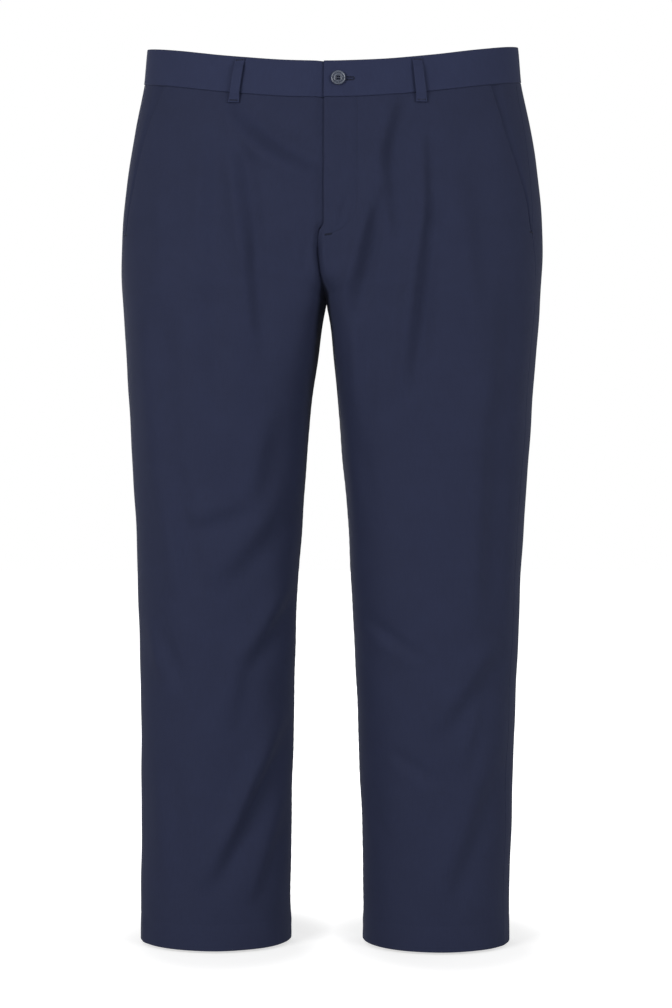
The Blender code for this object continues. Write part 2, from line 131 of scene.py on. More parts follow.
Section = namedtuple(
    "Section", "height centre right_out left_out front back square inner right_seam left_seam"
)
SECTIONS = (
    Section(0.000, -0.0055, 0.2229, 0.2064, 0.0720, 0.0660, 0.04, 1.0, 0.030, 0.034),
    Section(0.067, -0.0058, 0.2226, 0.2066, 0.0730, 0.0670, 0.04, 1.0, 0.030, 0.034),
    Section(0.207, -0.0065, 0.2220, 0.2112, 0.0770, 0.0710, 0.04, 1.0, 0.030, 0.036),
    Section(0.347, -0.0081, 0.2243, 0.2163, 0.0820, 0.0770, 0.04, 1.1, 0.030, 0.037),
    Section(0.487, -0.0081, 0.2289, 0.2236, 0.0880, 0.0830, 0.04, 1.2, 0.030, 0.038),
    Section(0.603, -0.0080, 0.2351, 0.2317, 0.0960, 0.0950, 0.04, 1.5, 0.030, 0.040),
    Section(0.685, -0.0068, 0.2404, 0.2377, 0.1010, 0.1070, 0.05, 2.6, 0.030, 0.041),
    Section(0.738, -0.0063, 0.2433, 0.2421, 0.1050, 0.1160, 0.06, 3.6, 0.030, 0.042),
    Section(0.790, -0.0050, 0.2448, 0.2448, 0.1110, 0.1260, 0.08, 3.4, 0.030, 0.043),
    Section(0.837, -0.0010, 0.2435, 0.2437, 0.1155, 0.1305, 0.10, 2.0, 0.030, 0.042),
    Section(0.883, 0.0000, 0.2384, 0.2397, 0.1150, 0.1270, 0.11, 1.2, 0.029, 0.041),
    Section(0.936, 0.0000, 0.2301, 0.2316, 0.1090, 0.1170, 0.12, 1.0, 0.026, 0.038),
    Section(0.976, 0.0000, 0.2215, 0.2228, 0.1040, 0.1080, 0.12, 1.0, 0.021, 0.034),
    Section(1.000, 0.0000, 0.2175, 0.2186, 0.1010, 0.1030, 0.12, 1.0, 0.018, 0.029),
    Section(1.046, 0.0000, 0.2138, 0.2148, 0.0980, 0.0980, 0.12, 1.0, 0.016, 0.024),
)

Gap = namedtuple("Gap", "height half")
LEG_GAPS = in_metres(Gap, (
    (0, 42.4), (67, 42.4), (207, 38.6), (347, 34.2), (487, 26.3),
    (603, 17), (685, 8.2), (713, 4.5), (738, 0),
))

Mouth = namedtuple("Mouth", "height left right")
POCKET_MOUTH = in_metres(Mouth, (
    (811, 42.5, 30), (822, 45.8, 34.5), (848, 51, 40.5),
    (875, 57.4, 45), (902, 62.7, 48.5), (924, 65.5, 51),
    (946, 66.7, 54.2), (968, 67, 57.8), (1000, 67.5, 60.5),
))
print("sections", len(SECTIONS), "from hem to waist")

# %% [markdown]
# ## The creases
# Pressed trousers hang in long soft creases: they run down from the waist past the fly, gather at the
# inner knee, and lean across the shin. Each row of a table is one crease, drawn from the top to the
# bottom as seen from the front, or through the cloth for the back. It has a bow to the viewer's
# right, a width, a trough's depth, and a step by which the cloth on its right lies lower. Most
# creases of hanging cloth are such steps, and light from one side draws them as one dark line between
# two pale ones. The large ones are in the solids too. All differ, as they do on cloth.

# %% Crease tables
Crease = namedtuple("Crease", "x0 height0 x1 height1 bow width depth step")
RIGHT_FRONT_CREASES = in_metres(Crease, (
    (-120, 964, 3, 868, -14.5, 15.6, 0, 13.5),
    (-106, 918, -86, 768, 1.1, 11.7, 0, 10.5),
    (-90, 838, -76, 661, -3.3, 11.2, 0, 8.5),
    (-135, 935, -137, 768, 0, 13.4, 0, 5),
    (-115, 827, -118, 577, 0, 20.1, 0, -6),
    (-189, 906, -181, 712, 0, 14.5, 0, 3.5),
    (-21, 933, -19, 864, 0, 10, 0.8, 0),
    (-29, 806, -30, 765, 0, 5.6, 0, 3),
    (-202, 746, -185, 521, 0, 17.8, 0.2, 8),
    (-185, 555, -160, 397, 0, 15.6, 0, 8.5),
    (-59, 617, -88, 487, 0, 16.7, 0, 6.5),
    (-85, 506, -164, 479, 2.2, 14.5, 0.8, 5),
    (-40, 524, -135, 404, 5.6, 19, 0.3, 8.5),
    (-38, 417, -95, 318, 0, 15.1, 0.4, 11),
    (-90, 357, -113, 239, 0, 15.6, 0, 6),
    (-46, 272, -140, 63, 3.3, 15.1, 0.6, 15),
    (-48, 174, -91, 45, 1.1, 12.3, 0, 6),
    (-189, 226, -175, 51, 0, 14.5, 0.5, 6),
    (-202, 382, -170, 286, -2.2, 11.2, 0.4, 6.5),
))
LEFT_FRONT_CREASES = in_metres(Crease, (
    (83, 966, 58, 869, -3.3, 15.6, 0, 12.5),
    (60, 911, 72, 791, 0, 15.6, 0, 10.5),
    (55, 862, 20, 703, 0, 11.7, 0.4, 16),
    (108, 930, 110, 803, 0, 10.6, 0, 7.5),
    (110, 852, 85, 616, 1.1, 12.8, 0.3, 16.5),
    (148, 900, 182, 631, 0, 20.1, 0, 7),
    (182, 644, 173, 341, -1.1, 18.3, 0.8, 8),
    (192, 807, 190, 589, 0, 16.7, 0, 5),
    (36, 735, 35, 589, 0, 11.2, 0, 6),
    (31, 383, 108, 326, -2.2, 10.6, 2.2, 2.5),
    (65, 227, 126, 185, 0, 11.2, 1.7, 1.5),
    (195, 349, 115, 235, 1.1, 17.3, 0.2, 9),
    (178, 307, 150, 197, 0.9, 11.2, 0, 3.5),
    (198, 236, 126, 32, -3.3, 17.8, 0.5, 8.5),
    (41, 183, 61, 112, -2.9, 10, 0.3, 2),
    (18, 852, 8, 811, 0, 4.5, 0, 2),
    (16, 908, 10, 869, 0, 5.6, 0, 0.7),
    (30, 578, 40, 499, 0, 12.3, 0.6, 2.5),
))
BACK_CREASES = in_metres(Crease, (
    (-35, 790, -150, 700, 10, 14, 5.6, 6.7),
    (-70, 690, -175, 610, 8, 15, 4.5, 5.4),
    (-70, 480, -165, 430, -6, 13, 5.6, 4.5),
    (-85, 400, -165, 330, 6, 14, 4.5, 5.8),
    (-90, 230, -150, 90, -6, 13, 4, 7.2),
    (-70, 985, -80, 880, -2, 10, 2.9, 0),
    (-150, 930, -120, 800, -4, 14, 3.2, 0),
    (-30, 735, -110, 660, 6, 11, 2.3, 4.5),
    (-60, 560, -120, 520, -3, 12, 2.3, 2.3),
    (-140, 300, -180, 210, -3, 13, 1.8, 2.7),
    (35, 780, 155, 705, -10, 14, 5.4, -6.3),
    (65, 670, 170, 600, -8, 15, 4.5, -5.4),
    (60, 470, 155, 440, 6, 13, 5.4, -4),
    (70, 385, 150, 300, -6, 14, 4.9, -5.8),
    (80, 200, 140, 60, 6, 13, 3.6, -6.7),
    (60, 985, 72, 890, 2, 10, 2.7, 0),
    (140, 940, 118, 810, 4, 14, 3.4, 0),
    (30, 728, 105, 650, -6, 11, 2.3, -4),
    (110, 560, 170, 510, 3, 13, 2.3, -2.7),
    (60, 340, 100, 240, 3, 12, 1.8, -2.3),
))
FRONT_CREASES = RIGHT_FRONT_CREASES + LEFT_FRONT_CREASES
print("creases", len(FRONT_CREASES), "front", len(BACK_CREASES), "back")

# %% [markdown]
# ## The fork
# Where the legs part, the two fronts are drawn together into a short deep groove that leans to the
# right leg's side. It is the deepest shadow on the garment. One table gives the lean, the other the
# groove's depth.

# %% Fork groove
Lean = namedtuple("Lean", "height shift")
FORK_LEAN = in_metres(Lean, (
    (738, 0), (746, -0.7), (764, -4.5), (790, -7.8),
    (806, -7.8), (820, -5), (860, 0),
))

Groove = namedtuple("Groove", "height depth")
FORK_GROOVE = in_metres(Groove, (
    (728, 0), (738, 3), (764, 7),
    (790, 7), (806, 3), (820, 0),
))
GROOVE_WIDTH = 0.0035
print("the groove's deepest place", max(row.depth for row in FORK_GROOVE))

# %% [markdown]
# ## The form
# A leg, or half of the body, is a round section at every height. Its half widths and depths are read
# from the table on a smooth curve. The same functions work on whole grids of points at once, because
# NumPy does the sums on arrays, and that keeps a fine mesh quick to make. An angle of 0 is the side,
# a quarter turn the front, a half turn the inseam, and the rest the back.

# %% Read a table
def ease(share):
    """Goes smoothly from 0 to 1 as share does."""
    share = np.clip(share, 0.0, 1.0)
    return share * share * (3 - 2 * share)


def read(rows, column, height):
    """The column's value at each height, on a smooth curve through the rows."""
    heights = np.array([row.height for row in rows])
    values = np.array([getattr(row, column) for row in rows])
    height = np.clip(height, heights[0], heights[-1])
    low = np.clip(np.searchsorted(heights, height) - 1, 0, len(rows) - 2)
    before = np.maximum(np.arange(len(rows)) - 1, 0)
    after = np.minimum(np.arange(len(rows)) + 1, len(rows) - 1)
    slopes = (values[after] - values[before]) / (heights[after] - heights[before])
    span = heights[low + 1] - heights[low]
    share = (height - heights[low]) / span
    rise = values[low + 1] - values[low]
    bend = slopes[low] * (1 - share) - slopes[low + 1] * share
    return values[low] + rise * ease(share) + share * (1 - share) * span * bend


print("half width at the hips", round(float(read(SECTIONS, "left_out", 0.8)), 4))

# %% The round section
GROOVE_FADE = 0.4
CREASE_FADE = 0.5


def centre_line(height, at_front):
    """Where the centre seam runs, with the fork's lean on the front."""
    lean = read(FORK_LEAN, "shift", height)
    return read(SECTIONS, "centre", height) + np.where(at_front, lean, 0.0)


def half_section(side, height, at_front):
    """Where a half's section has its middle and its half width, from the centre line outwards."""
    centre = centre_line(height, at_front)
    outer = read(SECTIONS, "left_out" if side > 0 else "right_out", height) - side * centre
    gap = read(LEG_GAPS, "half", height)
    fork = np.where(at_front, FRONT_FORK, BACK_FORK)
    apart = 1 - ease((height - CROTCH) / fork)
    on_leg = height <= CROTCH
    half_width = np.where(on_leg, (outer - gap) / 2, outer / (1 + apart))
    middle = np.where(on_leg, (outer + gap) / 2, apart * half_width)
    return middle, half_width


def crease_depth(creases, x, height):
    """How far in the cloth lies at a place, from all the creases that pass near it."""
    depth = np.zeros(np.broadcast(x, height).shape)
    for crease in creases:
        run_x = crease.x1 - crease.x0
        run_z = crease.height1 - crease.height0
        length = math.hypot(run_x, run_z)
        from_x = x - crease.x0
        from_z = height - crease.height0
        share = np.clip((from_x * run_x + from_z * run_z) / length**2, 0, 1)
        taper = 4 * share * (1 - share)
        across = (from_z * run_x - from_x * run_z) / length - crease.bow * taper
        ratio = across / crease.width
        shape = crease.depth * (1 - ratio**2) + crease.step * ratio
        depth += taper * shape * np.exp(-(ratio**2))
    return depth


def body_point(side, turn, height):
    """Points on the outside of the cloth, creases and all."""
    sine = np.sin(turn)
    cosine = np.cos(turn)
    at_front = sine >= 0
    middle, half_width = half_section(side, height, at_front)
    reach = np.where(at_front, read(SECTIONS, "front", height), read(SECTIONS, "back", height))
    square = read(SECTIONS, "square", height)
    inner = np.where(at_front & (cosine < 0), read(SECTIONS, "inner", height), 1.0)
    shoulder = inner * sine / np.sqrt(1 + (inner**2 - 1) * sine**2)
    centre = centre_line(height, at_front)
    x = centre + side * (middle + half_width * cosine)
    y = -reach * shoulder * (1 + square * cosine**2)
    groove = read(FORK_GROOVE, "depth", height) * np.exp(-(((x - centre) / GROOVE_WIDTH) ** 2))
    y += np.where(at_front, groove, 0.0) * ease(sine / GROOVE_FADE)
    front_depth = crease_depth(FRONT_CREASES, x, height)
    back_depth = crease_depth(BACK_CREASES, x, height)
    inward = np.where(at_front, front_depth, back_depth) * ease(np.abs(shoulder) / CREASE_FADE)
    x -= side * np.sign(cosine) * np.sqrt(1 - shoulder**2) * inward
    z = height - WAIST_HEIGHT + 0 * x
    return np.stack((x, y + shoulder * inward, z), axis=-1)


print("a point on the left thigh", body_point(1, np.array(1.5), np.array(0.6)).round(4))

# %% [markdown]
# ## Lying on the form
# Every piece is placed by an angle, a height and a lift, which is how far it stands out from the form.
# The way straight out is found from two short steps, one round the body and one up it. Cloth is never
# quite even between its folds, so a few long, very low waves that run through space move every piece
# alike, and neighbours still meet at their seams.

# %% Outwards and lifted
TURN_STEP = 1e-3
HEIGHT_STEP = 5e-4

Ripple = namedtuple("Ripple", "x y z length phase lift")
RIPPLES = (
    Ripple(0.94, 0.20, 0.28, 0.061, 0.4, 0.00022),
    Ripple(-0.70, 0.60, 0.39, 0.083, 2.1, 0.00026),
    Ripple(0.35, -0.25, 0.90, 0.104, 1.2, 0.00024),
    Ripple(0.55, 0.80, -0.24, 0.047, 5.0, 0.00014),
    Ripple(-0.40, 0.10, 0.91, 0.058, 3.3, 0.00012),
)


def outward(side, turn, height):
    """The direction that points straight out of the cloth."""
    along = body_point(side, turn + TURN_STEP, height) - body_point(side, turn - TURN_STEP, height)
    up = body_point(side, turn, height + HEIGHT_STEP) - body_point(side, turn, height - HEIGHT_STEP)
    normal = np.cross(along, up)
    normal /= np.linalg.norm(normal, axis=-1, keepdims=True)
    facing = side * np.cos(turn) * normal[..., 0] - np.sin(turn) * normal[..., 1]
    return normal * np.where(facing > 0, 1.0, -1.0)[..., None]


def ripple(points):
    """The low waves that all the cloth shares."""
    lift = np.zeros(points.shape[:-1])
    for wave in RIPPLES:
        way = points @ np.array((wave.x, wave.y, wave.z))
        lift += wave.lift * np.sin(WHOLE_TURN * way / wave.length + wave.phase)
    return lift


def lifted(side, turn, height, lift):
    """Points that stand out from the form by a lift."""
    turn, height, lift = np.broadcast_arrays(turn, height, lift)
    points = body_point(side, turn, height)
    return points + outward(side, turn, height) * (lift + ripple(points))[..., None]


def metres_per_turn(side, turn, height):
    """How far the cloth runs for one radian of angle."""
    ahead = body_point(side, turn + TURN_STEP, height)
    behind = body_point(side, turn - TURN_STEP, height)
    return np.linalg.norm(ahead - behind, axis=-1) / (2 * TURN_STEP)


def turn_of_x(side, height, x, at_front=True):
    """The angle at which a half's section passes x, on its front or its back."""
    middle, half_width = half_section(side, height, at_front)
    cosine = (side * (x - centre_line(height, at_front)) - middle) / half_width
    turn = np.arccos(np.clip(cosine, -1.0, 1.0))
    return turn if at_front else WHOLE_TURN - turn


hem_width = SECTIONS[0].left_out - SECTIONS[0].centre - LEG_GAPS[0].half
print("the left hem is", round(hem_width, 3), "m wide")

# %% [markdown]
# ## Where the seams run
# The side seam lies a little ahead of the side, and the pocket mouth slants forward from it. The
# waistband dips at the front. A row of a leg piece is level up to the hips. Above them the rows
# spread, so that the last one follows the waist seam.

# %% Seam lines
LEVEL_ROWS_END = 0.832
FLY_EDGE = -0.0060
UNDERLAP_WIDTH = 0.0090
UNDERLAP_LATER = 0.002
FLY_FULL_FROM = 0.006
FLY_FULL_RUN = 0.012
SETTLING_ROUNDS = 6


def turn_of_ahead(height, ahead):
    """The angle at which the cloth lies a distance ahead of the side line."""
    reach = read(SECTIONS, "front", height) * (1 + read(SECTIONS, "square", height))
    return np.arcsin(ahead / reach)


def side_seam_turn(side, height):
    return turn_of_ahead(height, read(SECTIONS, "left_seam" if side > 0 else "right_seam", height))


def mouth_turn(side, height):
    column = "left" if side > 0 else "right"
    mouth = turn_of_ahead(height, read(POCKET_MOUTH, column, height))
    seam = side_seam_turn(side, height)
    return np.where(height <= POCKET_MOUTH[0].height, seam, np.maximum(mouth, seam))


def band_top(turn):
    """The waistband's top edge, which dips at the front and rises a little at the back."""
    sine = np.sin(turn)
    dip = FRONT_DIP * (DIP_TILT * sine + (1 - DIP_TILT) * sine**3)
    bend = DIP_TILT * FRONT_DIP / BACK_RISE
    rise = BACK_RISE * (1 - np.maximum(1 + sine, 0) ** bend)
    return BAND_TOP_SIDE + np.where(sine >= 0, -dip, rise)


def waist_seam(turn):
    return band_top(turn) - BAND_WIDTH


def row_height(row, turn):
    """Rows are level up to the hips, and above that they spread to meet the waist seam."""
    top = BAND_TOP_SIDE - BAND_WIDTH
    share = (row - LEVEL_ROWS_END) / (top - LEVEL_ROWS_END)
    spread_row = LEVEL_ROWS_END + share * (waist_seam(turn) - LEVEL_ROWS_END)
    return np.where(row <= LEVEL_ROWS_END, row, spread_row)


def settled(turn_at, row):
    """The angle of a piece's edge on rows whose heights depend on the angle."""
    turn = turn_at(row)
    for _ in range(SETTLING_ROUNDS):
        turn = turn_at(row_height(row, turn))
    return turn


def fly_share(height):
    """1 along the fly, 0 below its end."""
    return ease((height - FLY_END - FLY_FULL_FROM) / FLY_FULL_RUN)


def front_end(side):
    """The inner edge of a leg front: the fly edge or what runs beneath it, the centre seam, the inseam."""
    fly_x = FLY_EDGE if side > 0 else FLY_EDGE + UNDERLAP_WIDTH
    later = 0.0 if side > 0 else UNDERLAP_LATER

    def turn_at(height):
        seam_x = centre_line(height, True)
        edge_x = seam_x + (fly_x - seam_x) * fly_share(height - later)
        return np.where(height <= CROTCH, HALF_TURN, turn_of_x(side, height, edge_x))

    return turn_at


def seat_seam(side):
    """The inner edge of a leg back: the inseam, then the seat seam."""

    def turn_at(height):
        seam_x = centre_line(height, False)
        return np.where(height <= CROTCH, HALF_TURN, turn_of_x(side, height, seam_x, at_front=False))

    return turn_at


print("front waist seam at", round(float(waist_seam(FRONT_MIDDLE)), 4), "above the hems")

# %% [markdown]
# ## A wall of cloth
# A cloth piece is a grid of squares with a second face behind it, closed at its rim. The grid comes
# from `create_grid`, the second face from `extrude_face_region`, and then every point goes to its
# place. The piece keeps a UV map in metres: how far along the cloth a point is, and how far up. The
# weave is drawn on that map, so it follows the cloth round the body and never stretches.

# %% Make a wall
SHARP_EDGE = math.radians(55)


def mesh_data(name, mesh):
    """Writes a bmesh out as the data of an object, and frees it."""
    data = bpy.data.meshes.new(name)
    mesh.to_mesh(data)
    mesh.free()
    return data


def signed_volume(data, points):
    """More than 0 where the faces point outwards."""
    data.calc_loop_triangles()
    corners = np.empty(len(data.loop_triangles) * 3, dtype=int)
    data.loop_triangles.foreach_get("vertices", corners)
    a, b, c = points[corners.reshape(-1, 3)].transpose(1, 0, 2)
    return float(np.sum(a * np.cross(b, c)))


def map_cloth(data, outer, row, column):
    """Writes where each point lies on the flat cloth, in metres along it and up it."""
    middle = outer.shape[1] // 2
    steps = np.linalg.norm(np.diff(outer, axis=1), axis=-1)
    along = np.concatenate((np.zeros((len(outer), 1)), np.cumsum(steps, axis=1)), axis=1)
    along -= along[:, middle : middle + 1]
    climbs = np.linalg.norm(np.diff(outer[:, middle], axis=0), axis=-1)
    up = np.concatenate(([0.0], np.cumsum(climbs)))
    corner = np.empty(len(data.loops), dtype=int)
    data.loops.foreach_get("vertex_index", corner)
    uv = np.stack((along[row, column], up[row]), axis=-1)
    data.uv_layers.new(name="cloth").data.foreach_set("uv", uv[corner].ravel())


def wall(name, outer, inner):
    """A closed wall between two grids of points, outer and inner, each rows by columns by 3."""
    rows = outer.shape[0] - 1
    columns = outer.shape[1] - 1
    mesh = bmesh.new()
    bmesh.ops.create_grid(mesh, x_segments=columns, y_segments=rows, size=1.0)
    made = bmesh.ops.extrude_face_region(mesh, geom=mesh.faces[:], use_keep_orig=True)
    behind = [item for item in made["geom"] if isinstance(item, bmesh.types.BMVert)]
    bmesh.ops.translate(mesh, verts=behind, vec=(0, 0, 1))
    bmesh.ops.recalc_face_normals(mesh, faces=mesh.faces)
    data = mesh_data(name, mesh)
    flat = np.empty(len(data.vertices) * 3)
    data.vertices.foreach_get("co", flat)
    flat = flat.reshape(-1, 3)
    column = np.rint((flat[:, 0] + 1) / 2 * columns).astype(int)
    row = np.rint((flat[:, 1] + 1) / 2 * rows).astype(int)
    inside = flat[:, 2] > 0.5
    placed = np.where(inside[:, None], inner[row, column], outer[row, column])
    data.vertices.foreach_set("co", placed.ravel())
    if signed_volume(data, placed) < 0:
        data.flip_normals()
    map_cloth(data, outer, row, column)
    return finished(name, data)


def finished(name, data):
    """Shades a mesh smooth up to its real edges, and puts it in the scene."""
    data.update()
    data.shade_smooth()
    data.set_sharp_from_angle(angle=SHARP_EDGE)
    piece = put_in_scene(name, data)
    print(name, len(data.vertices), "points")
    return piece


def sewn(name, side, turn, height, lift, inner):
    """A wall on the form, from how far its outer and its inner face stand out."""
    return wall(name, lifted(side, turn, height, lift), lifted(side, turn, height, inner))


# %% [markdown]
# ## Rolled and turned edges
# Sewn cloth never ends in a sharp corner. At a seam its edge rolls inwards round the stitches, so the
# seam shows as a fine groove. At a hem, a pocket mouth or a fly it is folded over, and the fold is as
# round as two layers are thick. Behind both lies the turning, a second layer that makes the wall
# thicker for a centimetre. Here that is a rounding of the outer face near each edge, and a step in
# the inner face. The steps of the grid are short near an edge, so that the rounding comes out smooth.

# %% Edges
CLOTH = 0.0009
TURNING = 0.0007
TURNING_WIDTH = 0.0100
TURNING_STEP = 0.0008
SEAM_ROLL = 0.0007
WAIST_ROLL = 0.0012
FOLD_ROLL = 0.0008
FORK_SHUT_RISE = 0.004
FORK_SHUT_HEIGHT = 0.014
FORK_SHUT_FADE = 0.020
EDGE_STEPS = np.array((0.0, 0.00010, 0.00025, 0.00045, 0.00080, 0.0022, 0.0045, 0.0075, 0.0100, 0.0108))
ROUND_STEPS = EDGE_STEPS[:5]
FOLD_STEPS = EDGE_STEPS[:6]
BAND_STEPS = EDGE_STEPS[:7]


def roll(distance, radius):
    """How far a rounded edge of that radius falls away, at a distance from its end."""
    inward = radius - np.clip(distance, 0, radius)
    return radius - np.sqrt(radius**2 - inward**2)


def fork_shut(height):
    """1 just above the crotch, where the walls of the fork face each other and leave no room for a roll."""
    shut = ease((height - CROTCH + FORK_SHUT_RISE) / FORK_SHUT_RISE)
    return shut * (1 - ease((height - CROTCH - FORK_SHUT_HEIGHT) / FORK_SHUT_FADE))


def turning(distance, width=TURNING_WIDTH):
    """1 over the turned layer, 0 past it."""
    return 1 - ease((distance - width) / TURNING_STEP)


Pucker = namedtuple("Pucker", "length wander sway reach lift")
SEAM_PUCKER = Pucker(0.0125, 0.083, 1.7, 0.0055, 0.00013)


def pucker(distance, along, phase):
    """The small waves beside a line of stitches, which draws the cloth up a little."""
    wander = SEAM_PUCKER.sway * np.sin(WHOLE_TURN * along / SEAM_PUCKER.wander + phase)
    wave = np.sin(WHOLE_TURN * along / SEAM_PUCKER.length + wander + 2 * phase)
    return SEAM_PUCKER.lift * wave * np.exp(-((distance / SEAM_PUCKER.reach) ** 2))


def spread(side, start, end, height_of, start_steps, end_steps, even):
    """Angles on each row, close together near both edges, and each point's distance from either edge."""
    start_rate = metres_per_turn(side, start, height_of(start))
    end_rate = metres_per_turn(side, end, height_of(end))
    first = start[:, None] + start_steps / start_rate[:, None]
    last = end[:, None] - end_steps[..., ::-1] / end_rate[:, None]
    shares = np.arange(1, even) / even
    between = first[:, -1:] + (last[:, :1] - first[:, -1:]) * shares
    turn = np.concatenate((first, between, last), axis=1)
    from_start = (turn - start[:, None]) * start_rate[:, None]
    from_end = (end[:, None] - turn) * end_rate[:, None]
    return turn, from_start, from_end


print("a seam's groove is", round(2 * SEAM_ROLL * MILLIMETRES, 2), "mm wide")

# %% [markdown]
# ## The leg fronts
# Two long pieces from the hem to the waist. The upper side edge is the pocket mouth, folded over.
# Along the fly the wearer's left front is folded too and laps over the right one, which sinks to lie
# beneath it. Both are sewn together below the fly. The rows are closer together round the fly's end,
# where the stitching curves. Small waves run beside every seam, each seam with a phase of its own.

# %% Rows of the leg pieces
ROW_STEP = 0.0036
FINE_ROWS = (0.798, 0.850)
FINE_ROW_STEP = 0.0015
LOW_ROWS = (HEM_TURN_UP + 0.003, CROTCH - 0.003)
FORK_ROWS_FROM = CROTCH + 0.018
WAIST_ROWS = 0.002

row_top = BAND_TOP_SIDE - BAND_WIDTH
hem_rows = np.array((0.014, 0.022, HEM_TURN_UP - 0.0016, HEM_TURN_UP - 0.0006, HEM_TURN_UP + 0.0006))
low_rows = np.arange(*LOW_ROWS, ROW_STEP)
crotch_rows = CROTCH + np.array(
    (-0.0015, 0, 0.0003, 0.0008, 0.0015, 0.0024, 0.0035, 0.0050, 0.0068, 0.0090, 0.0115, 0.0145)
)
fork_rows = np.arange(FORK_ROWS_FROM, FINE_ROWS[0], ROW_STEP)
fly_rows = np.arange(*FINE_ROWS, FINE_ROW_STEP)
high_rows = np.arange(FINE_ROWS[1], row_top - EDGE_STEPS[-1] - WAIST_ROWS, ROW_STEP)
upper_rows = np.concatenate((crotch_rows, fork_rows, fly_rows, high_rows, row_top - EDGE_STEPS[::-1]))
leg_rows = np.concatenate((EDGE_STEPS[:-1], hem_rows, low_rows, upper_rows))
print("rows", len(leg_rows))

# %% Hem and seam profile
HEM_LAYER = 0.0009
HEM_DENT = 0.00022
HEM_DENT_WIDTH = 0.0016
HEM_BULK_FADE = 0.004
SEAM_BULK = 0.0007
SEAM_BULK_WIDTH = 0.0060
WAIST_PUCKER = 0.8
WAIST_RADIUS = 0.2
SIDE_PHASE = 1.0
INNER_PHASE = 2.0
BAND_PHASE = 3.0


def leg_lift(turn, row, height, from_start, from_end, start_roll, end_roll, phases):
    """How far the outer face of a leg piece stands out: its rolled edges, puckers and hem."""
    lift = -np.maximum(roll(from_start, start_roll), roll(from_end, end_roll)) * (1 - fork_shut(height))
    lift -= roll(row, FOLD_ROLL) + roll(row_top - row, WAIST_ROLL)
    lift += pucker(from_start, height, phases[0]) + pucker(from_end, height, phases[1])
    lift += WAIST_PUCKER * pucker(row_top - row, turn * WAIST_RADIUS, phases[0] + phases[1])
    lift -= HEM_DENT * np.exp(-(((height - HEM_TURN_UP) / HEM_DENT_WIDTH) ** 2))
    near = np.minimum(from_start, from_end)
    below = 1 - ease((height - HEM_TURN_UP) / HEM_BULK_FADE)
    return lift + SEAM_BULK * below * np.exp(-((near / SEAM_BULK_WIDTH) ** 2))


def leg_back_face(row, height, from_start, from_end):
    """How far the inner face lies behind the form, with the turnings and the turned-up hem."""
    sides = np.maximum(turning(from_start), turning(from_end))
    hem = turning(height, HEM_TURN_UP)
    depth = CLOTH + TURNING * np.maximum(sides, turning(row_top - row)) + HEM_LAYER * hem
    return -depth + roll(row, FOLD_ROLL)


def leg_grid(side, start, end, end_steps, even):
    """A leg piece's points: their rows, angles, heights and distances from either edge."""
    turn, from_start, from_end = spread(
        side, start, end, lambda t: row_height(leg_rows, t), EDGE_STEPS, end_steps, even
    )
    row = leg_rows[:, None]
    return row, turn, row_height(row, turn), from_start, from_end


# %% Sew the leg fronts
FRONT_EVEN = 68
FRONT_PHASES = (SIDE_PHASE, INNER_PHASE)
FLY_STITCH_X = 0.0310
FLY_CURVE_HEIGHT = 0.8423
FLY_CURVE_DROP = 0.0378
FLY_SLOPE = 0.0008
FLY_SLOPE_WIDTH = 0.0022
FLY_DENT = 0.00035
FLY_DENT_WIDTH = 0.0014
FLY_DENT_PAST = 0.003
FLY_DENT_FADE = 0.002
FLY_SWELL_WIDTH = 0.006
FLY_SWELL_FADE = 0.004
FLY_STEP = 0.0015
FLY_STEPS = 25
FINE_SHARE = 0.25
FINE_BELOW = 0.762
FINE_FADE = 0.073
UNDERLAP_DEPTH = 0.0030
UNDERLAP_BELOW = 0.006
UNDERLAP_FADE = 0.010
FLY_SINK_RUN = 0.0105
FLY_SINK_REST = 0.001


def fly_steps(height):
    """Distances from the fly edge, in even steps where the fly is, and closer together beneath it."""
    share = FINE_SHARE + (1 - FINE_SHARE) * ease((height - FINE_BELOW) / FINE_FADE)
    even = FOLD_STEPS[-1] + np.arange(1, FLY_STEPS + 1) * FLY_STEP * share[:, None]
    fold = np.broadcast_to(FOLD_STEPS, (len(height), len(FOLD_STEPS)))
    return np.concatenate((fold, even), axis=1)


def fly_line_distance(x, height):
    """How far a place on the left front is from the curved line of stitches that holds the fly."""
    radius_x = FLY_STITCH_X - FLY_EDGE
    from_x = x - FLY_EDGE
    drop = (FLY_CURVE_HEIGHT - height) / FLY_CURVE_DROP * radius_x
    straight = np.abs(from_x - radius_x)
    curved = np.abs(np.hypot(from_x, drop) - radius_x)
    return np.where(height > FLY_CURVE_HEIGHT, straight, curved)


def press_fly(lift, x, height, from_end):
    """Gives the left front its fly: a sloping edge, a dent along the stitches, a swell inside them."""
    on_fly = fly_share(height)
    gap = fly_line_distance(x, height)
    fade = ease((FLY_STITCH_X + FLY_DENT_PAST - x) / FLY_DENT_FADE)
    swell = np.exp(-(((gap - FLY_SWELL_WIDTH) / FLY_SWELL_WIDTH) ** 2))
    lift -= FLY_SLOPE * on_fly * np.exp(-((from_end / FLY_SLOPE_WIDTH) ** 2))
    lift -= FLY_DENT * np.exp(-((gap / FLY_DENT_WIDTH) ** 2)) * fade
    lift += FLY_DENT * swell * ease((FLY_STITCH_X - x) / FLY_SWELL_FADE) * on_fly


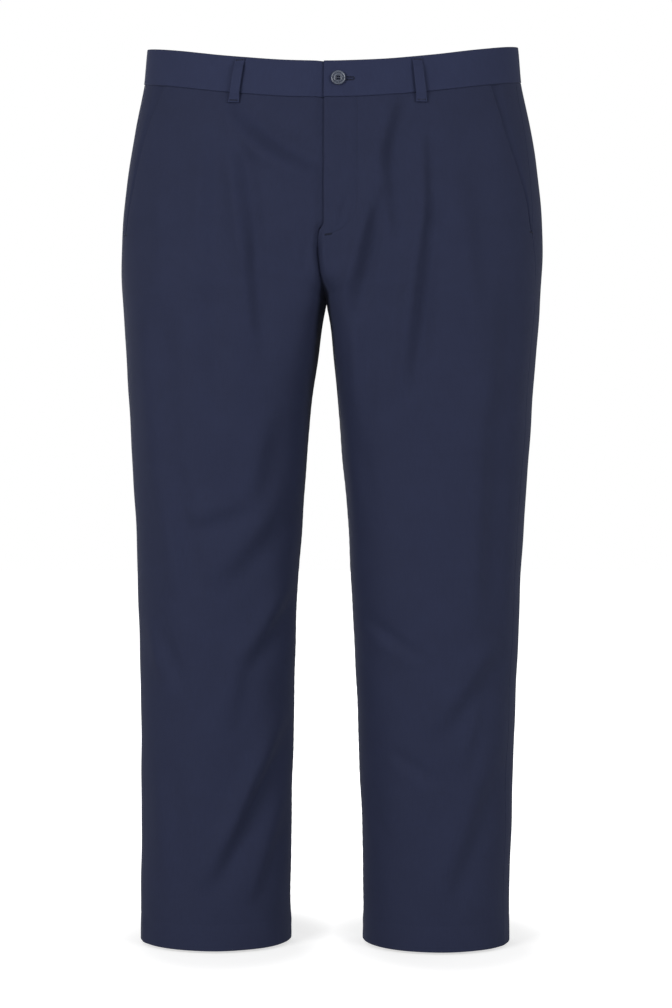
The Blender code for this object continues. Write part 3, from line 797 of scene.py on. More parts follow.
def leg_front(name, side):
    start = settled(lambda height: mouth_turn(side, height), leg_rows)
    end = settled(front_end(side), leg_rows)
    steps = fly_steps(leg_rows) if side > 0 else EDGE_STEPS
    row, turn, height, from_start, from_end = leg_grid(side, start, end, steps, FRONT_EVEN)
    x = body_point(side, turn, height)[..., 0]
    end_roll = SEAM_ROLL + (FOLD_ROLL - SEAM_ROLL) * fly_share(height)
    lift = leg_lift(turn, row, height, from_start, from_end, SEAM_ROLL, end_roll, FRONT_PHASES)
    inner = leg_back_face(row, height, from_start, from_end)
    if side > 0:
        press_fly(lift, x, height, from_end)
    else:
        under = x - FLY_EDGE + FLY_SINK_RUN
        sink = ease(under / (FLY_SINK_RUN - FLY_SINK_REST))
        lift -= UNDERLAP_DEPTH * sink * ease((height - FLY_END + UNDERLAP_BELOW) / UNDERLAP_FADE)
        inner = inner + np.minimum(lift, 0) * ease(under / FLY_SINK_RUN)
    return sewn(name, side, turn, height, lift, inner)


front_left = leg_front("leg_front_left", 1)
front_right = leg_front("leg_front_right", -1)

# %% [markdown]
# ## The leg backs
# The backs are wider than the fronts. They meet along the seat seam, and each runs round to the side
# seam. No pocket or dart is sewn on them, because nothing in the picture tells of one.

# %% Sew the leg backs
BACK_EVEN = 66
BACK_PHASES = (INNER_PHASE, SIDE_PHASE)


def leg_back(name, side):
    start = settled(seat_seam(side), leg_rows)
    end = WHOLE_TURN + settled(lambda height: side_seam_turn(side, height), leg_rows)
    row, turn, height, from_start, from_end = leg_grid(side, start, end, EDGE_STEPS, BACK_EVEN)
    lift = leg_lift(turn, row, height, from_start, from_end, SEAM_ROLL, SEAM_ROLL, BACK_PHASES)
    return sewn(name, side, turn, height, lift, leg_back_face(row, height, from_start, from_end))


back_left = leg_back("leg_back_left", 1)
back_right = leg_back("leg_back_right", -1)

# %% [markdown]
# ## The pocket facings
# Behind each slanted mouth lies a strip of the same cloth. It starts at the side seam, shows as far
# as the mouth and runs on beneath the front. It sinks under the folded edge, and that step is what
# lets the eye find the pocket.

# %% Sew the pocket facings
FACING_DEPTH = 0.0021
FACING_EVEN = 14
FACING_LEAST = 0.0005
FACING_BENEATH = np.array((0.002, 0.005, 0.009))
FACING_SINK_FROM = 0.60
FACING_SINK_RUN = 0.38
FACING_FOOT = POCKET_MOUTH[0].height + 0.001
facing_rows = leg_rows[leg_rows > FACING_FOOT]


def pocket_facing(name, side):
    start = settled(lambda height: side_seam_turn(side, height), facing_rows)
    mouth = settled(lambda height: mouth_turn(side, height), facing_rows)
    rate = metres_per_turn(side, mouth, row_height(facing_rows, mouth))
    width = np.maximum((mouth - start) * rate, FACING_LEAST)[:, None]
    shares = np.arange(1, FACING_EVEN + 1) / FACING_EVEN
    near = np.minimum(ROUND_STEPS, width / 2)
    rest = near[:, -1:] + (width - near[:, -1:]) * shares
    across = np.concatenate((near, rest, width + FACING_BENEATH), axis=1)
    turn = start[:, None] + across / rate[:, None]
    row = facing_rows[:, None]
    height = row_height(row, turn)
    sink = ease((across / width - FACING_SINK_FROM) / FACING_SINK_RUN)
    lift = -FACING_DEPTH * sink - roll(across, SEAM_ROLL) * (1 - sink) - roll(row_top - row, SEAM_ROLL)
    lift += pucker(across, height, SIDE_PHASE)
    inner = -CLOTH - TURNING * turning(across) * (1 - sink) - FACING_DEPTH * sink
    return sewn(name, side, turn, height, lift, inner)


facing_left = pocket_facing("pocket_facing_cloth_left", 1)
facing_right = pocket_facing("pocket_facing_cloth_right", -1)

# %% [markdown]
# ## The waistband
# A straight strip, stiffened and folded at its top edge, in two halves joined at the centre back. The
# left half ends at the fly edge, and the right half runs on beneath it to carry the button. It stands
# a little proud of the legs, because all the waist seam's turnings lie inside it.

# %% Sew the waistband
BAND_CLOTH = 0.0024
BAND_PROUD = 0.0006
BAND_EXTENSION = 0.0330
BAND_EVEN = 96
BAND_ROLL = 0.0009
BAND_CROWN = 0.00035
BAND_PUCKER = 0.7
BAND_SINK = BAND_CLOTH + 0.0006
BAND_SINK_REST = 0.0008
BAND_LEVELS = np.linspace(0.04, 0.96, 13)
BAND_ROWS = np.concatenate((ROUND_STEPS / BAND_WIDTH, BAND_LEVELS, 1 - ROUND_STEPS[::-1] / BAND_WIDTH))


def waistband(name, side):
    middle_height = BAND_TOP_SIDE - BAND_WIDTH / 2
    start = turn_of_x(side, np.array(middle_height), 0.0, at_front=False) - WHOLE_TURN
    end_x = FLY_EDGE if side > 0 else FLY_EDGE + BAND_EXTENSION
    end = turn_of_x(side, np.array(middle_height), end_x)
    ones = np.ones(len(BAND_ROWS))
    turn, from_start, from_end = spread(
        side, start * ones, end * ones, lambda t: middle_height * ones, BAND_STEPS, BAND_STEPS, BAND_EVEN
    )
    bottom = waist_seam(turn)
    height = bottom + BAND_WIDTH * BAND_ROWS[:, None]
    low = height - bottom
    high = BAND_WIDTH - low
    crown = BAND_CROWN * 4 * low * high / BAND_WIDTH**2
    edge = np.maximum(roll(low, WAIST_ROLL), roll(high, BAND_ROLL))
    lift = BAND_PROUD + crown - edge - roll(from_start, SEAM_ROLL)
    lift += BAND_PUCKER * pucker(low, turn * WAIST_RADIUS, BAND_PHASE)
    inner = BAND_PROUD - BAND_CLOTH + roll(high, BAND_ROLL) + 0 * turn
    if side > 0:
        lift -= roll(from_end, FOLD_ROLL)
        inner += roll(from_end, FOLD_ROLL)
    else:
        under = body_point(side, turn, height)[..., 0] - FLY_EDGE + FLY_SINK_RUN
        sink = BAND_SINK * ease(under / (FLY_SINK_RUN - BAND_SINK_REST))
        lift -= sink
        inner -= sink
    return sewn(name, side, turn, height, lift, inner)


band_left = waistband("waistband_cloth_left", 1)
band_right = waistband("waistband_cloth_right", -1)

# %% [markdown]
# ## The belt loops
# Each loop is a strip folded in three and sewn down at its two ends, so it is thick for its width
# and has round edges. Between its feet it stands off the band just enough for a belt.

# %% Sew the belt loops
LOOP_WIDTH = 0.0114
LOOP_CLOTH = 0.0015
LOOP_LENGTH = 0.0505
LOOP_DROP = 0.0026
LOOP_CLEAR = 0.0024
LOOP_ROLL = 0.0007
LOOP_CROWN = 0.00018
LOOP_SEAT = 0.0003
LOOP_FOOT = 0.0035
LOOP_RISE_RUN = 0.0085
LOOP_END_INSET = 0.0018
LOOP_SIDE_INSET = 0.0016
LOOP_ROWS = 30
LOOP_COLUMNS = 8
LEFT_LOOP_TURN = math.radians(63.3)
RIGHT_LOOP_TURN = math.radians(62.1)
SIDE_LOOP_TURN = math.radians(-42.0)

Loop = namedtuple("Loop", "name side turn lean")
LOOPS = (
    Loop("front_left", 1, LEFT_LOOP_TURN, -0.0010),
    Loop("front_right", -1, RIGHT_LOOP_TURN, -0.0038),
    Loop("side_left", 1, SIDE_LOOP_TURN, 0.0012),
    Loop("side_right", -1, SIDE_LOOP_TURN, -0.0008),
    Loop("centre_back", 1, -math.pi / 2, 0.0010),
)


def loop_surface(loop, station, across, lift):
    """A place on a belt loop, from its distance down the loop, which leans a little, and across it."""
    turn = np.array(loop.turn)
    top = band_top(turn) - LOOP_DROP
    height = top - station
    rate = metres_per_turn(loop.side, turn, top)
    rise = ease((station - LOOP_FOOT) / LOOP_RISE_RUN)
    rise = rise * ease((LOOP_LENGTH - station - LOOP_FOOT) / LOOP_RISE_RUN)
    clearance = BAND_PROUD + LOOP_SEAT + (LOOP_CLEAR - LOOP_SEAT) * rise
    leaned = across + loop.lean * (station / LOOP_LENGTH - 0.5)
    return lifted(loop.side, loop.turn + leaned / rate, height, clearance + lift)


def belt_loop(loop):
    half = LOOP_WIDTH / 2
    down = np.linspace(LOOP_END_INSET, LOOP_LENGTH - LOOP_END_INSET, LOOP_ROWS)
    station = np.concatenate((ROUND_STEPS, down, LOOP_LENGTH - ROUND_STEPS[::-1]))
    between = np.linspace(-half + LOOP_SIDE_INSET, half - LOOP_SIDE_INSET, LOOP_COLUMNS)
    across = np.concatenate((-half + ROUND_STEPS, between, half - ROUND_STEPS[::-1]))
    station, across = np.meshgrid(station, across, indexing="ij")
    sides = roll(half - np.abs(across), LOOP_ROLL)
    ends = roll(np.minimum(station, LOOP_LENGTH - station), LOOP_ROLL)
    crown = LOOP_CROWN * (1 - (across / half) ** 2)
    outer = loop_surface(loop, station, across, LOOP_CLOTH + crown - sides - ends)
    inner = loop_surface(loop, station, across, sides)
    return wall(f"loop_{loop.name}", outer, inner)


loops = [belt_loop(loop) for loop in LOOPS]

# %% [markdown]
# ## The button
# A trouser button is turned from cast resin: a thin raised rim, a groove, an inner ring and a small
# well with four holes. It is one profile spun about its axis, and the holes are cut by a Boolean.
# Later, two bars of thread run from hole to hole.

# %% Turn the button
BUTTON_X = 0.0100
BUTTON_THICKNESS = 0.0030
BUTTON_HOLE_RADIUS = 0.0008
BUTTON_HOLE_SPACING = 0.0013
BUTTON_HOLE_STEPS = 24
BUTTON_STEPS = 96
BUTTON_CLEAR = 0.0003
WELD = 1e-6

Turned = namedtuple("Turned", "radius height")
BUTTON_PROFILE = in_metres(Turned, (
    (0, 0.9), (2.5, 0.9), (2.9, 1.1), (3.4, 2.4), (3.8, 2.9), (4.5, 3),
    (5, 2.5), (5.3, 1.6), (5.7, 1.4), (6.1, 1.9), (6.6, 2.9), (7.2, 3),
    (7.8, 2.7), (8.1, 2.1), (8, 1.4), (7.4, 0.5), (6.3, 0), (0, 0),
))

button_height = waist_seam(FRONT_MIDDLE) + BAND_WIDTH / 2
button_turn = turn_of_x(1, button_height, BUTTON_X)
button_seat = Vector(lifted(1, button_turn, button_height, BAND_PROUD + BAND_CROWN + BUTTON_CLEAR))
button_out = Vector(outward(1, button_turn, button_height))
button_frame = Matrix.Translation(button_seat) @ button_out.to_track_quat("Z", "Y").to_matrix().to_4x4()


def turned_button():
    """The button without its holes: the profile spun about its axis."""
    mesh = bmesh.new()
    points = [mesh.verts.new((ring.radius, 0.0, ring.height)) for ring in BUTTON_PROFILE]
    edges = [mesh.edges.new(pair) for pair in zip(points, points[1:])]
    bmesh.ops.spin(
        mesh, geom=points + edges, cent=(0, 0, 0), axis=(0, 0, 1), angle=WHOLE_TURN,
        steps=BUTTON_STEPS, use_merge=True,
    )
    bmesh.ops.remove_doubles(mesh, verts=mesh.verts, dist=WELD)
    bmesh.ops.recalc_face_normals(mesh, faces=mesh.faces)
    return put_in_scene("waist_button", mesh_data("waist_button", mesh))


def hole_cutters():
    """Four rods that stand where the holes will be."""
    mesh = bmesh.new()
    for across in (-1, 1):
        for up in (-1, 1):
            place = Matrix.Translation((across * BUTTON_HOLE_SPACING, up * BUTTON_HOLE_SPACING, 0.0))
            bmesh.ops.create_cone(
                mesh, cap_ends=True, segments=BUTTON_HOLE_STEPS, radius1=BUTTON_HOLE_RADIUS,
                radius2=BUTTON_HOLE_RADIUS, depth=4 * BUTTON_THICKNESS, matrix=place,
            )
    return put_in_scene("button_holes", mesh_data("button_holes", mesh))


def drilled_button():
    blank = turned_button()
    cutter = hole_cutters()
    holes = blank.modifiers.new("holes", "BOOLEAN")
    holes.object = cutter
    graph = bpy.context.evaluated_depsgraph_get()
    data = bpy.data.meshes.new_from_object(blank.evaluated_get(graph))
    bpy.data.objects.remove(blank)
    bpy.data.objects.remove(cutter)
    data.transform(button_frame)
    return finished("waist_button_turned", data)


button = drilled_button()

# %% [markdown]
# ## Stitches
# Every stitch is a short length of thread that dips in and out of the cloth, so from outside it is a
# small grain, longer than wide. Each is a squashed sphere turned along its line. The grains of one
# line are joined in one mesh, because hundreds of objects would be slow to handle.

# %% Lay stitches along a line
THREAD = 0.00042
STITCH_LENGTH = 0.0026
STITCH_GAP = 0.0006
GRAIN_SEGMENTS = 8
GRAIN_RINGS = 6


def stitch_frame(point, along, out, length, width, thickness):
    """Turns and sizes a sphere of diameter 1 into a stitch that lies along a line."""
    along = Vector(along).normalized()
    out = Vector(out)
    across = out.cross(along).normalized()
    out = along.cross(across)
    turned = Matrix((along * length, across * width, out * thickness)).transposed().to_4x4()
    return Matrix.Translation(Vector(point)) @ turned


def add_stitch(mesh, point, along, out, length, width, thickness=THREAD):
    bmesh.ops.create_uvsphere(
        mesh, u_segments=GRAIN_SEGMENTS, v_segments=GRAIN_RINGS, radius=0.5,
        matrix=stitch_frame(point, along, out, length, width, thickness),
    )


def interpolated(at, way, values):
    """The values at a distance along a line, from those at its points."""
    return np.array([np.interp(at, way, values[:, k]) for k in range(3)])


def stitched_line(mesh, points, outs, length=STITCH_LENGTH, gap=STITCH_GAP, width=THREAD):
    """Stitches one after another along a line of points."""
    steps = np.linalg.norm(np.diff(points, axis=0), axis=1)
    way = np.concatenate(([0.0], np.cumsum(steps)))
    count = int(way[-1] / (length + gap))
    for index in range(count):
        at = (index + 0.5) * way[-1] / count
        low = interpolated(at - length / 2, way, points)
        high = interpolated(at + length / 2, way, points)
        add_stitch(mesh, (low + high) / 2, high - low, interpolated(at, way, outs), length, width)
    return count


def stitch_piece(name, mesh):
    """Puts a mesh of stitches in the scene."""
    return finished(name, mesh_data(name, mesh))


def front_line(x, height, lift, side=1):
    """Points and outward directions along a line on the front, given by x and height."""
    turn = turn_of_x(side, height, x)
    return lifted(side, turn, height, lift), outward(side, turn, height)


# %% Fly stitching
FLY_LINE_POINTS = 40
FLY_LINE_TOP = float(waist_seam(FRONT_MIDDLE)) - 0.003
FLY_STITCH_LIFT = -0.00030
FLY_LINE_END = math.radians(84)

straight = np.linspace(FLY_LINE_TOP, FLY_CURVE_HEIGHT, FLY_LINE_POINTS)
angle = np.linspace(0.0, FLY_LINE_END, FLY_LINE_POINTS)[1:]
curved_x = FLY_EDGE + (FLY_STITCH_X - FLY_EDGE) * np.cos(angle)
fly_x = np.concatenate((np.full(FLY_LINE_POINTS, FLY_STITCH_X), curved_x))
fly_heights = np.concatenate((straight, FLY_CURVE_HEIGHT - FLY_CURVE_DROP * np.sin(angle)))
mesh = bmesh.new()
print("fly stitches", stitched_line(mesh, *front_line(fly_x, fly_heights, FLY_STITCH_LIFT)))
fly_stitches = stitch_piece("fly_stitches", mesh)

# %% [markdown]
# ## Bartacks, buttonhole, button thread and hems
# A bartack is a row of short stitches packed side by side over a place that takes strain: the lower
# end of each pocket mouth, the end of the fly and both ends of the belt loops. The buttonhole is
# edged in the same way along both sides of its slit and round one end. Thread holds the button in two
# bars, each of three strands that dip into the holes. The hem is held by blind stitches, which take
# only a speck of outer cloth.

# %% Bartacks
TACK_PITCH = 0.00045
TACK_LENGTH = 0.0020
TACK_THREAD = THREAD * 1.15
TACK_LIFT = 0.0001
LOOP_TACKS = (0.0022, LOOP_LENGTH - 0.0024)
LOOP_TACK_WIDTH = LOOP_WIDTH - 0.0022
LOOP_TACK_REACH = 0.004
POCKET_TACK_ABOVE = 0.004
POCKET_TACK_TURN = 0.001 / 0.24
POCKET_TACK_REACH = 0.003
POCKET_TACK_WIDTH = 0.0075
FLY_TACK_X = np.array((FLY_EDGE + 0.001, FLY_EDGE + 0.009))
FLY_TACK_HEIGHT = np.array((0.8035, 0.8045))
FLY_TACK_WIDTH = 0.0085


def bartack(mesh, ends, out, width):
    """Stitches side by side over a width, along the way from one end to the other."""
    centre = Vector((ends[0] + ends[1]) / 2)
    along = Vector(ends[1] - ends[0]).normalized()
    out = Vector(out).normalized()
    count = max(3, int(width / TACK_PITCH))
    for index in range(count):
        offset = (index - (count - 1) / 2) * TACK_PITCH
        add_stitch(mesh, centre + along * offset, out.cross(along), out, TACK_LENGTH, TACK_THREAD)


mesh = bmesh.new()
for loop in LOOPS:
    for station in LOOP_TACKS:
        ends = [
            loop_surface(loop, np.array(station), np.array(across), LOOP_CLOTH + TACK_LIFT)
            for across in (-LOOP_TACK_REACH, LOOP_TACK_REACH)
        ]
        turn = np.array(loop.turn)
        out = outward(loop.side, turn, band_top(turn) - station)
        bartack(mesh, ends, out, LOOP_TACK_WIDTH)
for side in (1, -1):
    row = np.array((POCKET_MOUTH[0].height + POCKET_TACK_ABOVE,))
    turn = settled(lambda height: mouth_turn(side, height), row) + POCKET_TACK_TURN
    height = row_height(row, turn)
    step = POCKET_TACK_REACH / metres_per_turn(side, turn, height)
    ends = [lifted(side, turn + s, height, TACK_LIFT)[0] for s in (-step, step)]
    bartack(mesh, ends, outward(side, turn, height)[0], POCKET_TACK_WIDTH)
ends, outs = front_line(FLY_TACK_X, FLY_TACK_HEIGHT, TACK_LIFT)
bartack(mesh, ends, outs[0], FLY_TACK_WIDTH)
bartacks = stitch_piece("bartacks", mesh)

# %% Buttonhole
HOLE_START = 0.0040
HOLE_END = 0.0262
HOLE_PITCH = 0.00062
HOLE_STITCH = 0.0019
HOLE_REACH = 0.0024
HOLE_LIFT = 0.00105
HOLE_STITCH_MIDDLE = 0.62
HOLE_THREAD = THREAD * 1.2
HOLE_BELOW_BUTTON = 0.0003
EYE_ANGLES = np.radians(np.arange(-75, 76, 15))

hole_height = float(button_height) - HOLE_BELOW_BUTTON
rays = [(x, 0.0, way) for x in np.arange(HOLE_START, HOLE_END, HOLE_PITCH) for way in (-1, 1)]
rays += [(HOLE_END, math.cos(angle), math.sin(angle)) for angle in EYE_ANGLES]
mesh = bmesh.new()
for x, right, up in rays:
    place_x = np.array((x, x + HOLE_REACH * right))
    heights = np.array((hole_height, hole_height + HOLE_REACH * up))
    points, outs = front_line(place_x, heights, HOLE_LIFT)
    middle = points[0] + (points[1] - points[0]) * HOLE_STITCH_MIDDLE
    add_stitch(mesh, middle, points[1] - points[0], outs[0], HOLE_STITCH, HOLE_THREAD, HOLE_THREAD)
buttonhole = stitch_piece("buttonhole_stitches", mesh)

# %% Button thread
STRAND_REACH = 1.5
STRAND_HEIGHT = 0.0014
STRAND_APART = 1.35
STRAND_WIDTH = THREAD * 1.5
STRAND_THICKNESS = THREAD * 2.4
STRAND_LIFT = 0.0001

mesh = bmesh.new()
for up in (-1, 1):
    for shift in (-1, 0, 1):
        across = Vector((0, 1, 0)) * shift * THREAD * STRAND_APART
        low, high = (
            Vector((end * BUTTON_HOLE_SPACING, up * BUTTON_HOLE_SPACING, STRAND_HEIGHT)) + across
            for end in (-1, 1)
        )
        length = (high - low).length * STRAND_REACH
        low, high = button_frame @ low, button_frame @ high
        middle = (low + high) / 2 + button_out * STRAND_LIFT
        add_stitch(mesh, middle, high - low, button_out, length, STRAND_WIDTH, STRAND_THICKNESS)
button_thread = stitch_piece("button_thread", mesh)

# %% Hem stitches
HEM_STITCH_PITCH = 0.0085
HEM_STITCH = 0.0011
HEM_THREAD = THREAD * 0.8
HEM_POINTS = 400

mesh = bmesh.new()
for side in (1, -1):
    turn = np.linspace(0, WHOLE_TURN, HEM_POINTS)
    height = np.full(HEM_POINTS, HEM_TURN_UP)
    points = lifted(side, turn, height, -HEM_DENT)
    outs = outward(side, turn, height)
    stitched_line(mesh, points, outs, HEM_STITCH, HEM_STITCH_PITCH - HEM_STITCH, HEM_THREAD)
hem_stitches = stitch_piece("hem_stitches", mesh)

# %% [markdown]
# ## Materials: colours and nodes
# Colours are given as screen values, which are bent for the eye. Shaders work with light, so one
# function straightens them. A second one adds a node with its values and links, and the rest are the
# few kinds of node that every cloth, thread and resin here is made of.

# %% Colour and node helpers
WHITE = (1.0, 1.0, 1.0, 1.0)


def linear(hex_colour):
    """A colour written as #rrggbb, as the light values that a shader takes."""
    channels = [int(hex_colour[i : i + 2], 16) / 255 for i in (1, 3, 5)]
    return tuple(c / 12.92 if c <= 0.04045 else ((c + 0.055) / 1.055) ** 2.4 for c in channels) + (1.0,)


def fill(tree, node, values=None, links=None):
    """Sets the values of a node's inputs and links what feeds them."""
    for socket, value in (values or {}).items():
        node.inputs[socket].default_value = value
    for socket, source in (links or {}).items():
        tree.links.new(source, node.inputs[socket])


def add_node(tree, kind, output, values=None, links=None, **settings):
    """Adds a node with its properties, values and links, and gives back one of its outputs."""
    node = tree.nodes.new("ShaderNode" + kind)
    for name, value in settings.items():
        setattr(node, name, value)
    fill(tree, node, values, links)
    return node.outputs[output]


def noise(tree, place, **values):
    return add_node(tree, "TexNoise", "Fac", {k.title(): v for k, v in values.items()}, {"Vector": place})


def mixed(tree, factor, a, b):
    return add_node(tree, "Mix", 0, {"Factor": factor}, {"A": a, "B": b}, data_type="FLOAT")


def ramp(tree, source, *stops):
    """A colour that goes from the first stop's to the last's as the source rises."""
    colour = add_node(tree, "ValToRGB", "Color", links={"Fac": source})
    for element, (place, shade) in zip(colour.node.color_ramp.elements, stops):
        element.position = place
        element.color = linear(shade)
    return colour


def bump(tree, height, strength, distance):
    values = {"Strength": strength, "Distance": distance}
    return add_node(tree, "Bump", "Normal", values, {"Height": height})


def new_material(name):
    material = bpy.data.materials.new(name)
    material.use_nodes = True
    return material, material.node_tree, material.node_tree.nodes["Principled BSDF"]


# %% [markdown]
# ## Cotton twill
# Twill is woven so that each weft thread steps over by one, and that draws fine diagonal ribs, about
# half a millimetre apart on trousering. Dyed navy and pressed, it is nearly matt, with a soft bloom
# where it turns away from the eye, because short fibres stand up from the ribs. The ribs are drawn at
# twice their real spacing, or they would be lost in the picture. Along each rib, the threads' own
# unevenness makes it lighter and darker. The waistband is cut along the cloth, so its ribs lean the
# other way. The waistband and the belt loops are the same cloth as the legs, but they are drawn a shade
# lighter: painted light, for the stronger light that falls on them.

# %% Navy cotton twill
RIB_SPACING = 0.0010
FLOAT_LENGTH = 0.0013
ON_LEG = math.radians(58)
ON_BAND = math.radians(-32)
WAVE_PERIOD = WHOLE_TURN / 20
SLUB_STRETCH = (1.0, 0.12, 1.0)
WEAVE_BUMP = 0.00012
TWILL_SHINE = {
    "Roughness": 0.82,
    "Specular IOR Level": 0.20,
    "Sheen Weight": 0.06,
    "Sheen Roughness": 0.45,
    "Sheen Tint": linear("#b9c2dc"),
}


def threads(tree, place, spacing, direction, distortion, detail_scale):
    """Soft bands at a spacing, like threads that lie side by side."""
    return add_node(
        tree, "TexWave", "Fac",
        {
            "Scale": WAVE_PERIOD / spacing,
            "Distortion": distortion,
            "Detail": 1.0,
            "Detail Scale": detail_scale,
        },
        {"Vector": place}, wave_type="BANDS", bands_direction=direction,
    )


def twill_material(name, dark, light, rib_angle):
    material, tree, shader = new_material(name)
    cloth = add_node(tree, "UVMap", "UV", uv_map="cloth")
    across_ribs = add_node(tree, "Mapping", "Vector", {"Rotation": (0, 0, rib_angle)}, {"Vector": cloth})
    ribs = threads(tree, across_ribs, RIB_SPACING, "X", 0.6, 0.6)
    floats = threads(tree, cloth, FLOAT_LENGTH, "Y", 1.2, 0.8)
    weave = mixed(tree, 0.30, ribs, floats)
    along_threads = add_node(tree, "Mapping", "Vector", {"Scale": SLUB_STRETCH}, {"Vector": cloth})
    slubs = noise(tree, along_threads, scale=520.0, detail=2.0, roughness=0.5)
    bloom = noise(tree, cloth, scale=26.0, detail=3.0, roughness=0.55)
    uneven = mixed(tree, 0.45, slubs, bloom)
    tone = mixed(tree, 0.40, weave, uneven)
    colour = ramp(tree, tone, (0.22, dark), (0.78, light))
    relief = bump(tree, weave, 0.35, WEAVE_BUMP)
    fill(tree, shader, TWILL_SHINE, {"Base Color": colour, "Normal": relief})
    return material


navy_twill = twill_material("navy_cotton_twill", "#1b1f33", "#262c46", ON_LEG)
# A copy of the leg twill with its ribs turned and its tone lighter: the lighter tone is painted light on
# the waistband and belt loops.
band_twill_painted_lighter = twill_material("navy_cotton_twill_band_painted_light", "#1e2239", "#2a314d", ON_BAND)
print("materials", navy_twill.name, band_twill_painted_lighter.name)

# %% [markdown]
# ## Thread and button resin
# Sewing thread is twisted polyester with a dull gleam, dyed to match. The button is cast resin, dark
# grey and polished, so its rim and ring catch the light as two thin bright circles.

# %% Polyester thread and resin
THREAD_BUMP = 0.00005


def thread_material(name, colour):
    material, tree, shader = new_material(name)
    place = add_node(tree, "TexCoord", "Object")
    twist = noise(tree, place, scale=2600.0, detail=2.0)
    shade = ramp(tree, twist, (0.0, "#0e1220"), (1.0, colour))
    relief = bump(tree, twist, 0.3, THREAD_BUMP)
    shine = {"Roughness": 0.5, "Specular IOR Level": 0.2}
    fill(tree, shader, shine, {"Base Color": shade, "Normal": relief})
    return material


def resin_material(name):
    material, tree, shader = new_material(name)
    place = add_node(tree, "TexCoord", "Object")
    cloud = noise(tree, place, scale=420.0, detail=4.0, distortion=1.5)
    shade = ramp(tree, cloud, (0.3, "#3c414d"), (0.7, "#646a78"))
    fill(tree, shader, {"Roughness": 0.22, "IOR": 1.54}, {"Base Color": shade})
    return material


thread = thread_material("navy_polyester_thread", "#171c32")
resin = resin_material("grey_cast_resin")
print("materials", thread.name, resin.name)

# %% [markdown]
# ## Each piece takes its place
# Every piece rides on the one body and takes its material, and the cloth pieces and the button hide the
# imported solid that they stand for. The table of cloth pieces lists the flat size that each was cut to,
# and each one's cloth area is printed.

# %% Cloth pieces
Cut = namedtuple("Cut", "piece node width length area held")


def one_face_area(piece):
    """Half of a closed wall's surface, which is the cloth's own area."""
    return sum(polygon.area for polygon in piece.data.polygons) / 2


cloth_cuts = [
    Cut(front_left, "front_left", 0.285, 0.975, 0.248, "hung"),
    Cut(front_right, "front_right", 0.285, 0.975, 0.252, "hung"),
    Cut(back_left, "back_left", 0.375, 0.995, 0.332, "hung"),
    Cut(back_right, "back_right", 0.375, 0.995, 0.319, "hung"),
    Cut(facing_left, "pocket_facing_left", 0.042, 0.190, 0.0062, "hung"),
    Cut(facing_right, "pocket_facing_right", 0.042, 0.190, 0.0060, "hung"),
    Cut(band_left, "waistband_left", 0.0415, 0.535, None, "folded"),
    Cut(band_right, "waistband_right", 0.0415, 0.565, None, "folded"),
]
for piece, loop in zip(loops, LOOPS):
    cloth_cuts.append(Cut(piece, f"belt_loop_{loop.name}", LOOP_WIDTH, LOOP_LENGTH, None, "folded"))

for cut in cloth_cuts:
    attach(cut.piece, "root")
    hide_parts(cut.node)
    # The waistband and belt loops take the lighter copy of the twill, whose lighter tone is painted light.
    cloth = band_twill_painted_lighter if cut.node.startswith(("waistband", "belt_loop")) else navy_twill
    cut.piece.data.materials.append(cloth)
    print(cut.piece.name, "cloth area", round(one_face_area(cut.piece), 4))

# %% Trims
for piece in (fly_stitches, bartacks, buttonhole, button_thread, hem_stitches):
    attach(piece, "root")
    piece.data.materials.append(thread)
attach(button, "root")
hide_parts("button")
button.data.materials.append(resin)
print("trims ride on the root body")

# %% [markdown]
# ## Light and floor
# The picture has a white room that shows no horizon, yet the cloth has clear shade. A studio does that
# by lighting the backdrop on its own. Here the room and the floor are bright only as the camera sees
# them, and weak as light. One large soft light from the front, on the left and at chest height, draws
# the creases. A weaker one on the right fills the shade, two behind catch the edges, and one behind
# lights the back. The floor is pale and matt and lies just beneath the hems.
# Its glow is dimmed close to each leg, in a shape round each hem, and that paints a soft shadow there on
# top of the real one.

# %% Room and lights
ROOM_SEEN = 1.0
ROOM_LIGHT = 0.30
AIM = Vector((0.0, 0.0, -0.45))

world = bpy.data.worlds.new("white_room")
world.use_nodes = True
room = world.node_tree
to_camera = add_node(room, "LightPath", "Is Camera Ray")
brightness = {"A": ROOM_LIGHT, "B": ROOM_SEEN}
strength = add_node(room, "Mix", 0, brightness, {"Factor": to_camera}, data_type="FLOAT")
fill(room, room.nodes["Background"], {"Color": WHITE}, {"Strength": strength})
bpy.context.scene.world = world

Lamp = namedtuple("Lamp", "name place size power")
LAMPS = (
    Lamp("key_light", (-2.25, -2.65, 0.45), 1.5, 79.0),
    Lamp("fill_light", (2.5, -2.45, 0.20), 1.6, 58.0),
    Lamp("left_edge_light", (-2.6, 1.9, -0.10), 1.4, 6.0),
    Lamp("right_edge_light", (2.6, 1.9, -0.10), 1.4, 8.0),
    Lamp("back_light", (-1.3, 3.1, 0.35), 1.6, 24.0),
)
for lamp in LAMPS:
    data = bpy.data.lights.new(lamp.name, "AREA")
    data.shape = "SQUARE"
    data.size = lamp.size
    data.energy = lamp.power
    light = put_in_scene(lamp.name, data)
    light.location = lamp.place
    light.rotation_euler = (AIM - light.location).to_track_quat("-Z", "Y").to_euler()
    light.visible_camera = False
print("lamps", len(LAMPS))

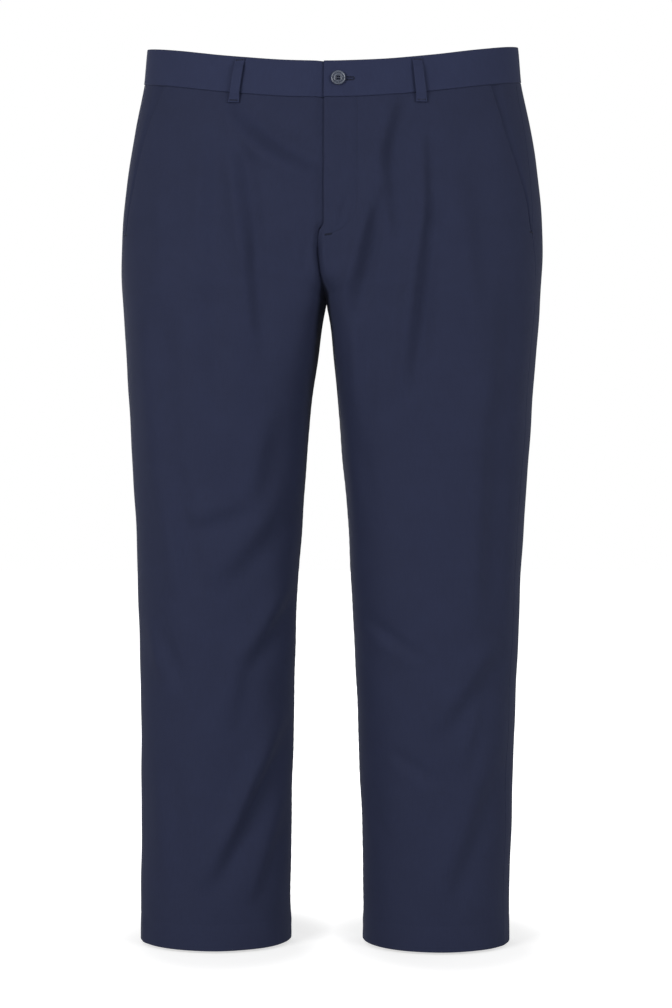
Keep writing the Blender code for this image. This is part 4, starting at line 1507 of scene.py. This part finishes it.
# %% Floor
FLOOR_DROP = 0.003
FLOOR_HALF = 12.0
# The glow is weaker near each leg than far off: a painted shadow round the hems.
FLOOR_GLOW_IN_PAINTED_SHADOW = 0.60
FLOOR_GLOW_FAR = 1.05
FLOOR_GLOW_FROM = 0.09
FLOOR_GLOW_TO = 0.20
LEG_MIDDLE = 0.1285
SHADOW_SHAPE = (1.0, 0.8, 0.0)

mesh = bmesh.new()
floor_place = Matrix.Translation((0, 0, -WAIST_HEIGHT - FLOOR_DROP))
bmesh.ops.create_grid(mesh, x_segments=1, y_segments=1, size=FLOOR_HALF, matrix=floor_place)
floor = put_in_scene("floor", mesh_data("floor", mesh))
paint, tree, shader = new_material("matt_white_paint")
seen = add_node(tree, "LightPath", "Is Camera Ray")
spot = add_node(tree, "TexCoord", "Object")
folded = add_node(tree, "VectorMath", "Vector", {}, {0: spot}, operation="ABSOLUTE")
legs = {1: (LEG_MIDDLE, 0.0, 0.0)}
from_leg = add_node(tree, "VectorMath", "Vector", legs, {0: folded}, operation="SUBTRACT")
level = add_node(tree, "VectorMath", "Vector", {1: SHADOW_SHAPE}, {0: from_leg}, operation="MULTIPLY")
away = add_node(tree, "VectorMath", "Value", {}, {0: level}, operation="LENGTH")
glow = {
    "From Min": FLOOR_GLOW_FROM,
    "From Max": FLOOR_GLOW_TO,
    "To Min": FLOOR_GLOW_IN_PAINTED_SHADOW,
    "To Max": FLOOR_GLOW_FAR,
}
# Glow that rises with the distance from the nearest leg: the low glow near the legs paints the hems'
# shadow.
glow_with_painted_shadow = add_node(tree, "MapRange", "Result", glow, {"Value": away}, interpolation_type="SMOOTHSTEP")
strength = add_node(tree, "Math", 0, {}, {0: seen, 1: glow_with_painted_shadow}, operation="MULTIPLY")
matt = {"Base Color": linear("#c8c8c8"), "Roughness": 0.9, "Emission Color": WHITE}
fill(tree, shader, matt, {"Emission Strength": strength})
floor.data.materials.append(paint)
floor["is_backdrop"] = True
print("floor", FLOOR_DROP * MILLIMETRES, "mm beneath the hems")

# %% [markdown]
# ## The size
# The dressed trousers must be no bigger than the imported model, but for what soft cloth may stand
# proud. The box of the dressed trousers is printed before the script ends.

# %% Size and finish
low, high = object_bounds()
print("visual box", [round(v, 4) for v in low], [round(v, 4) for v in high])
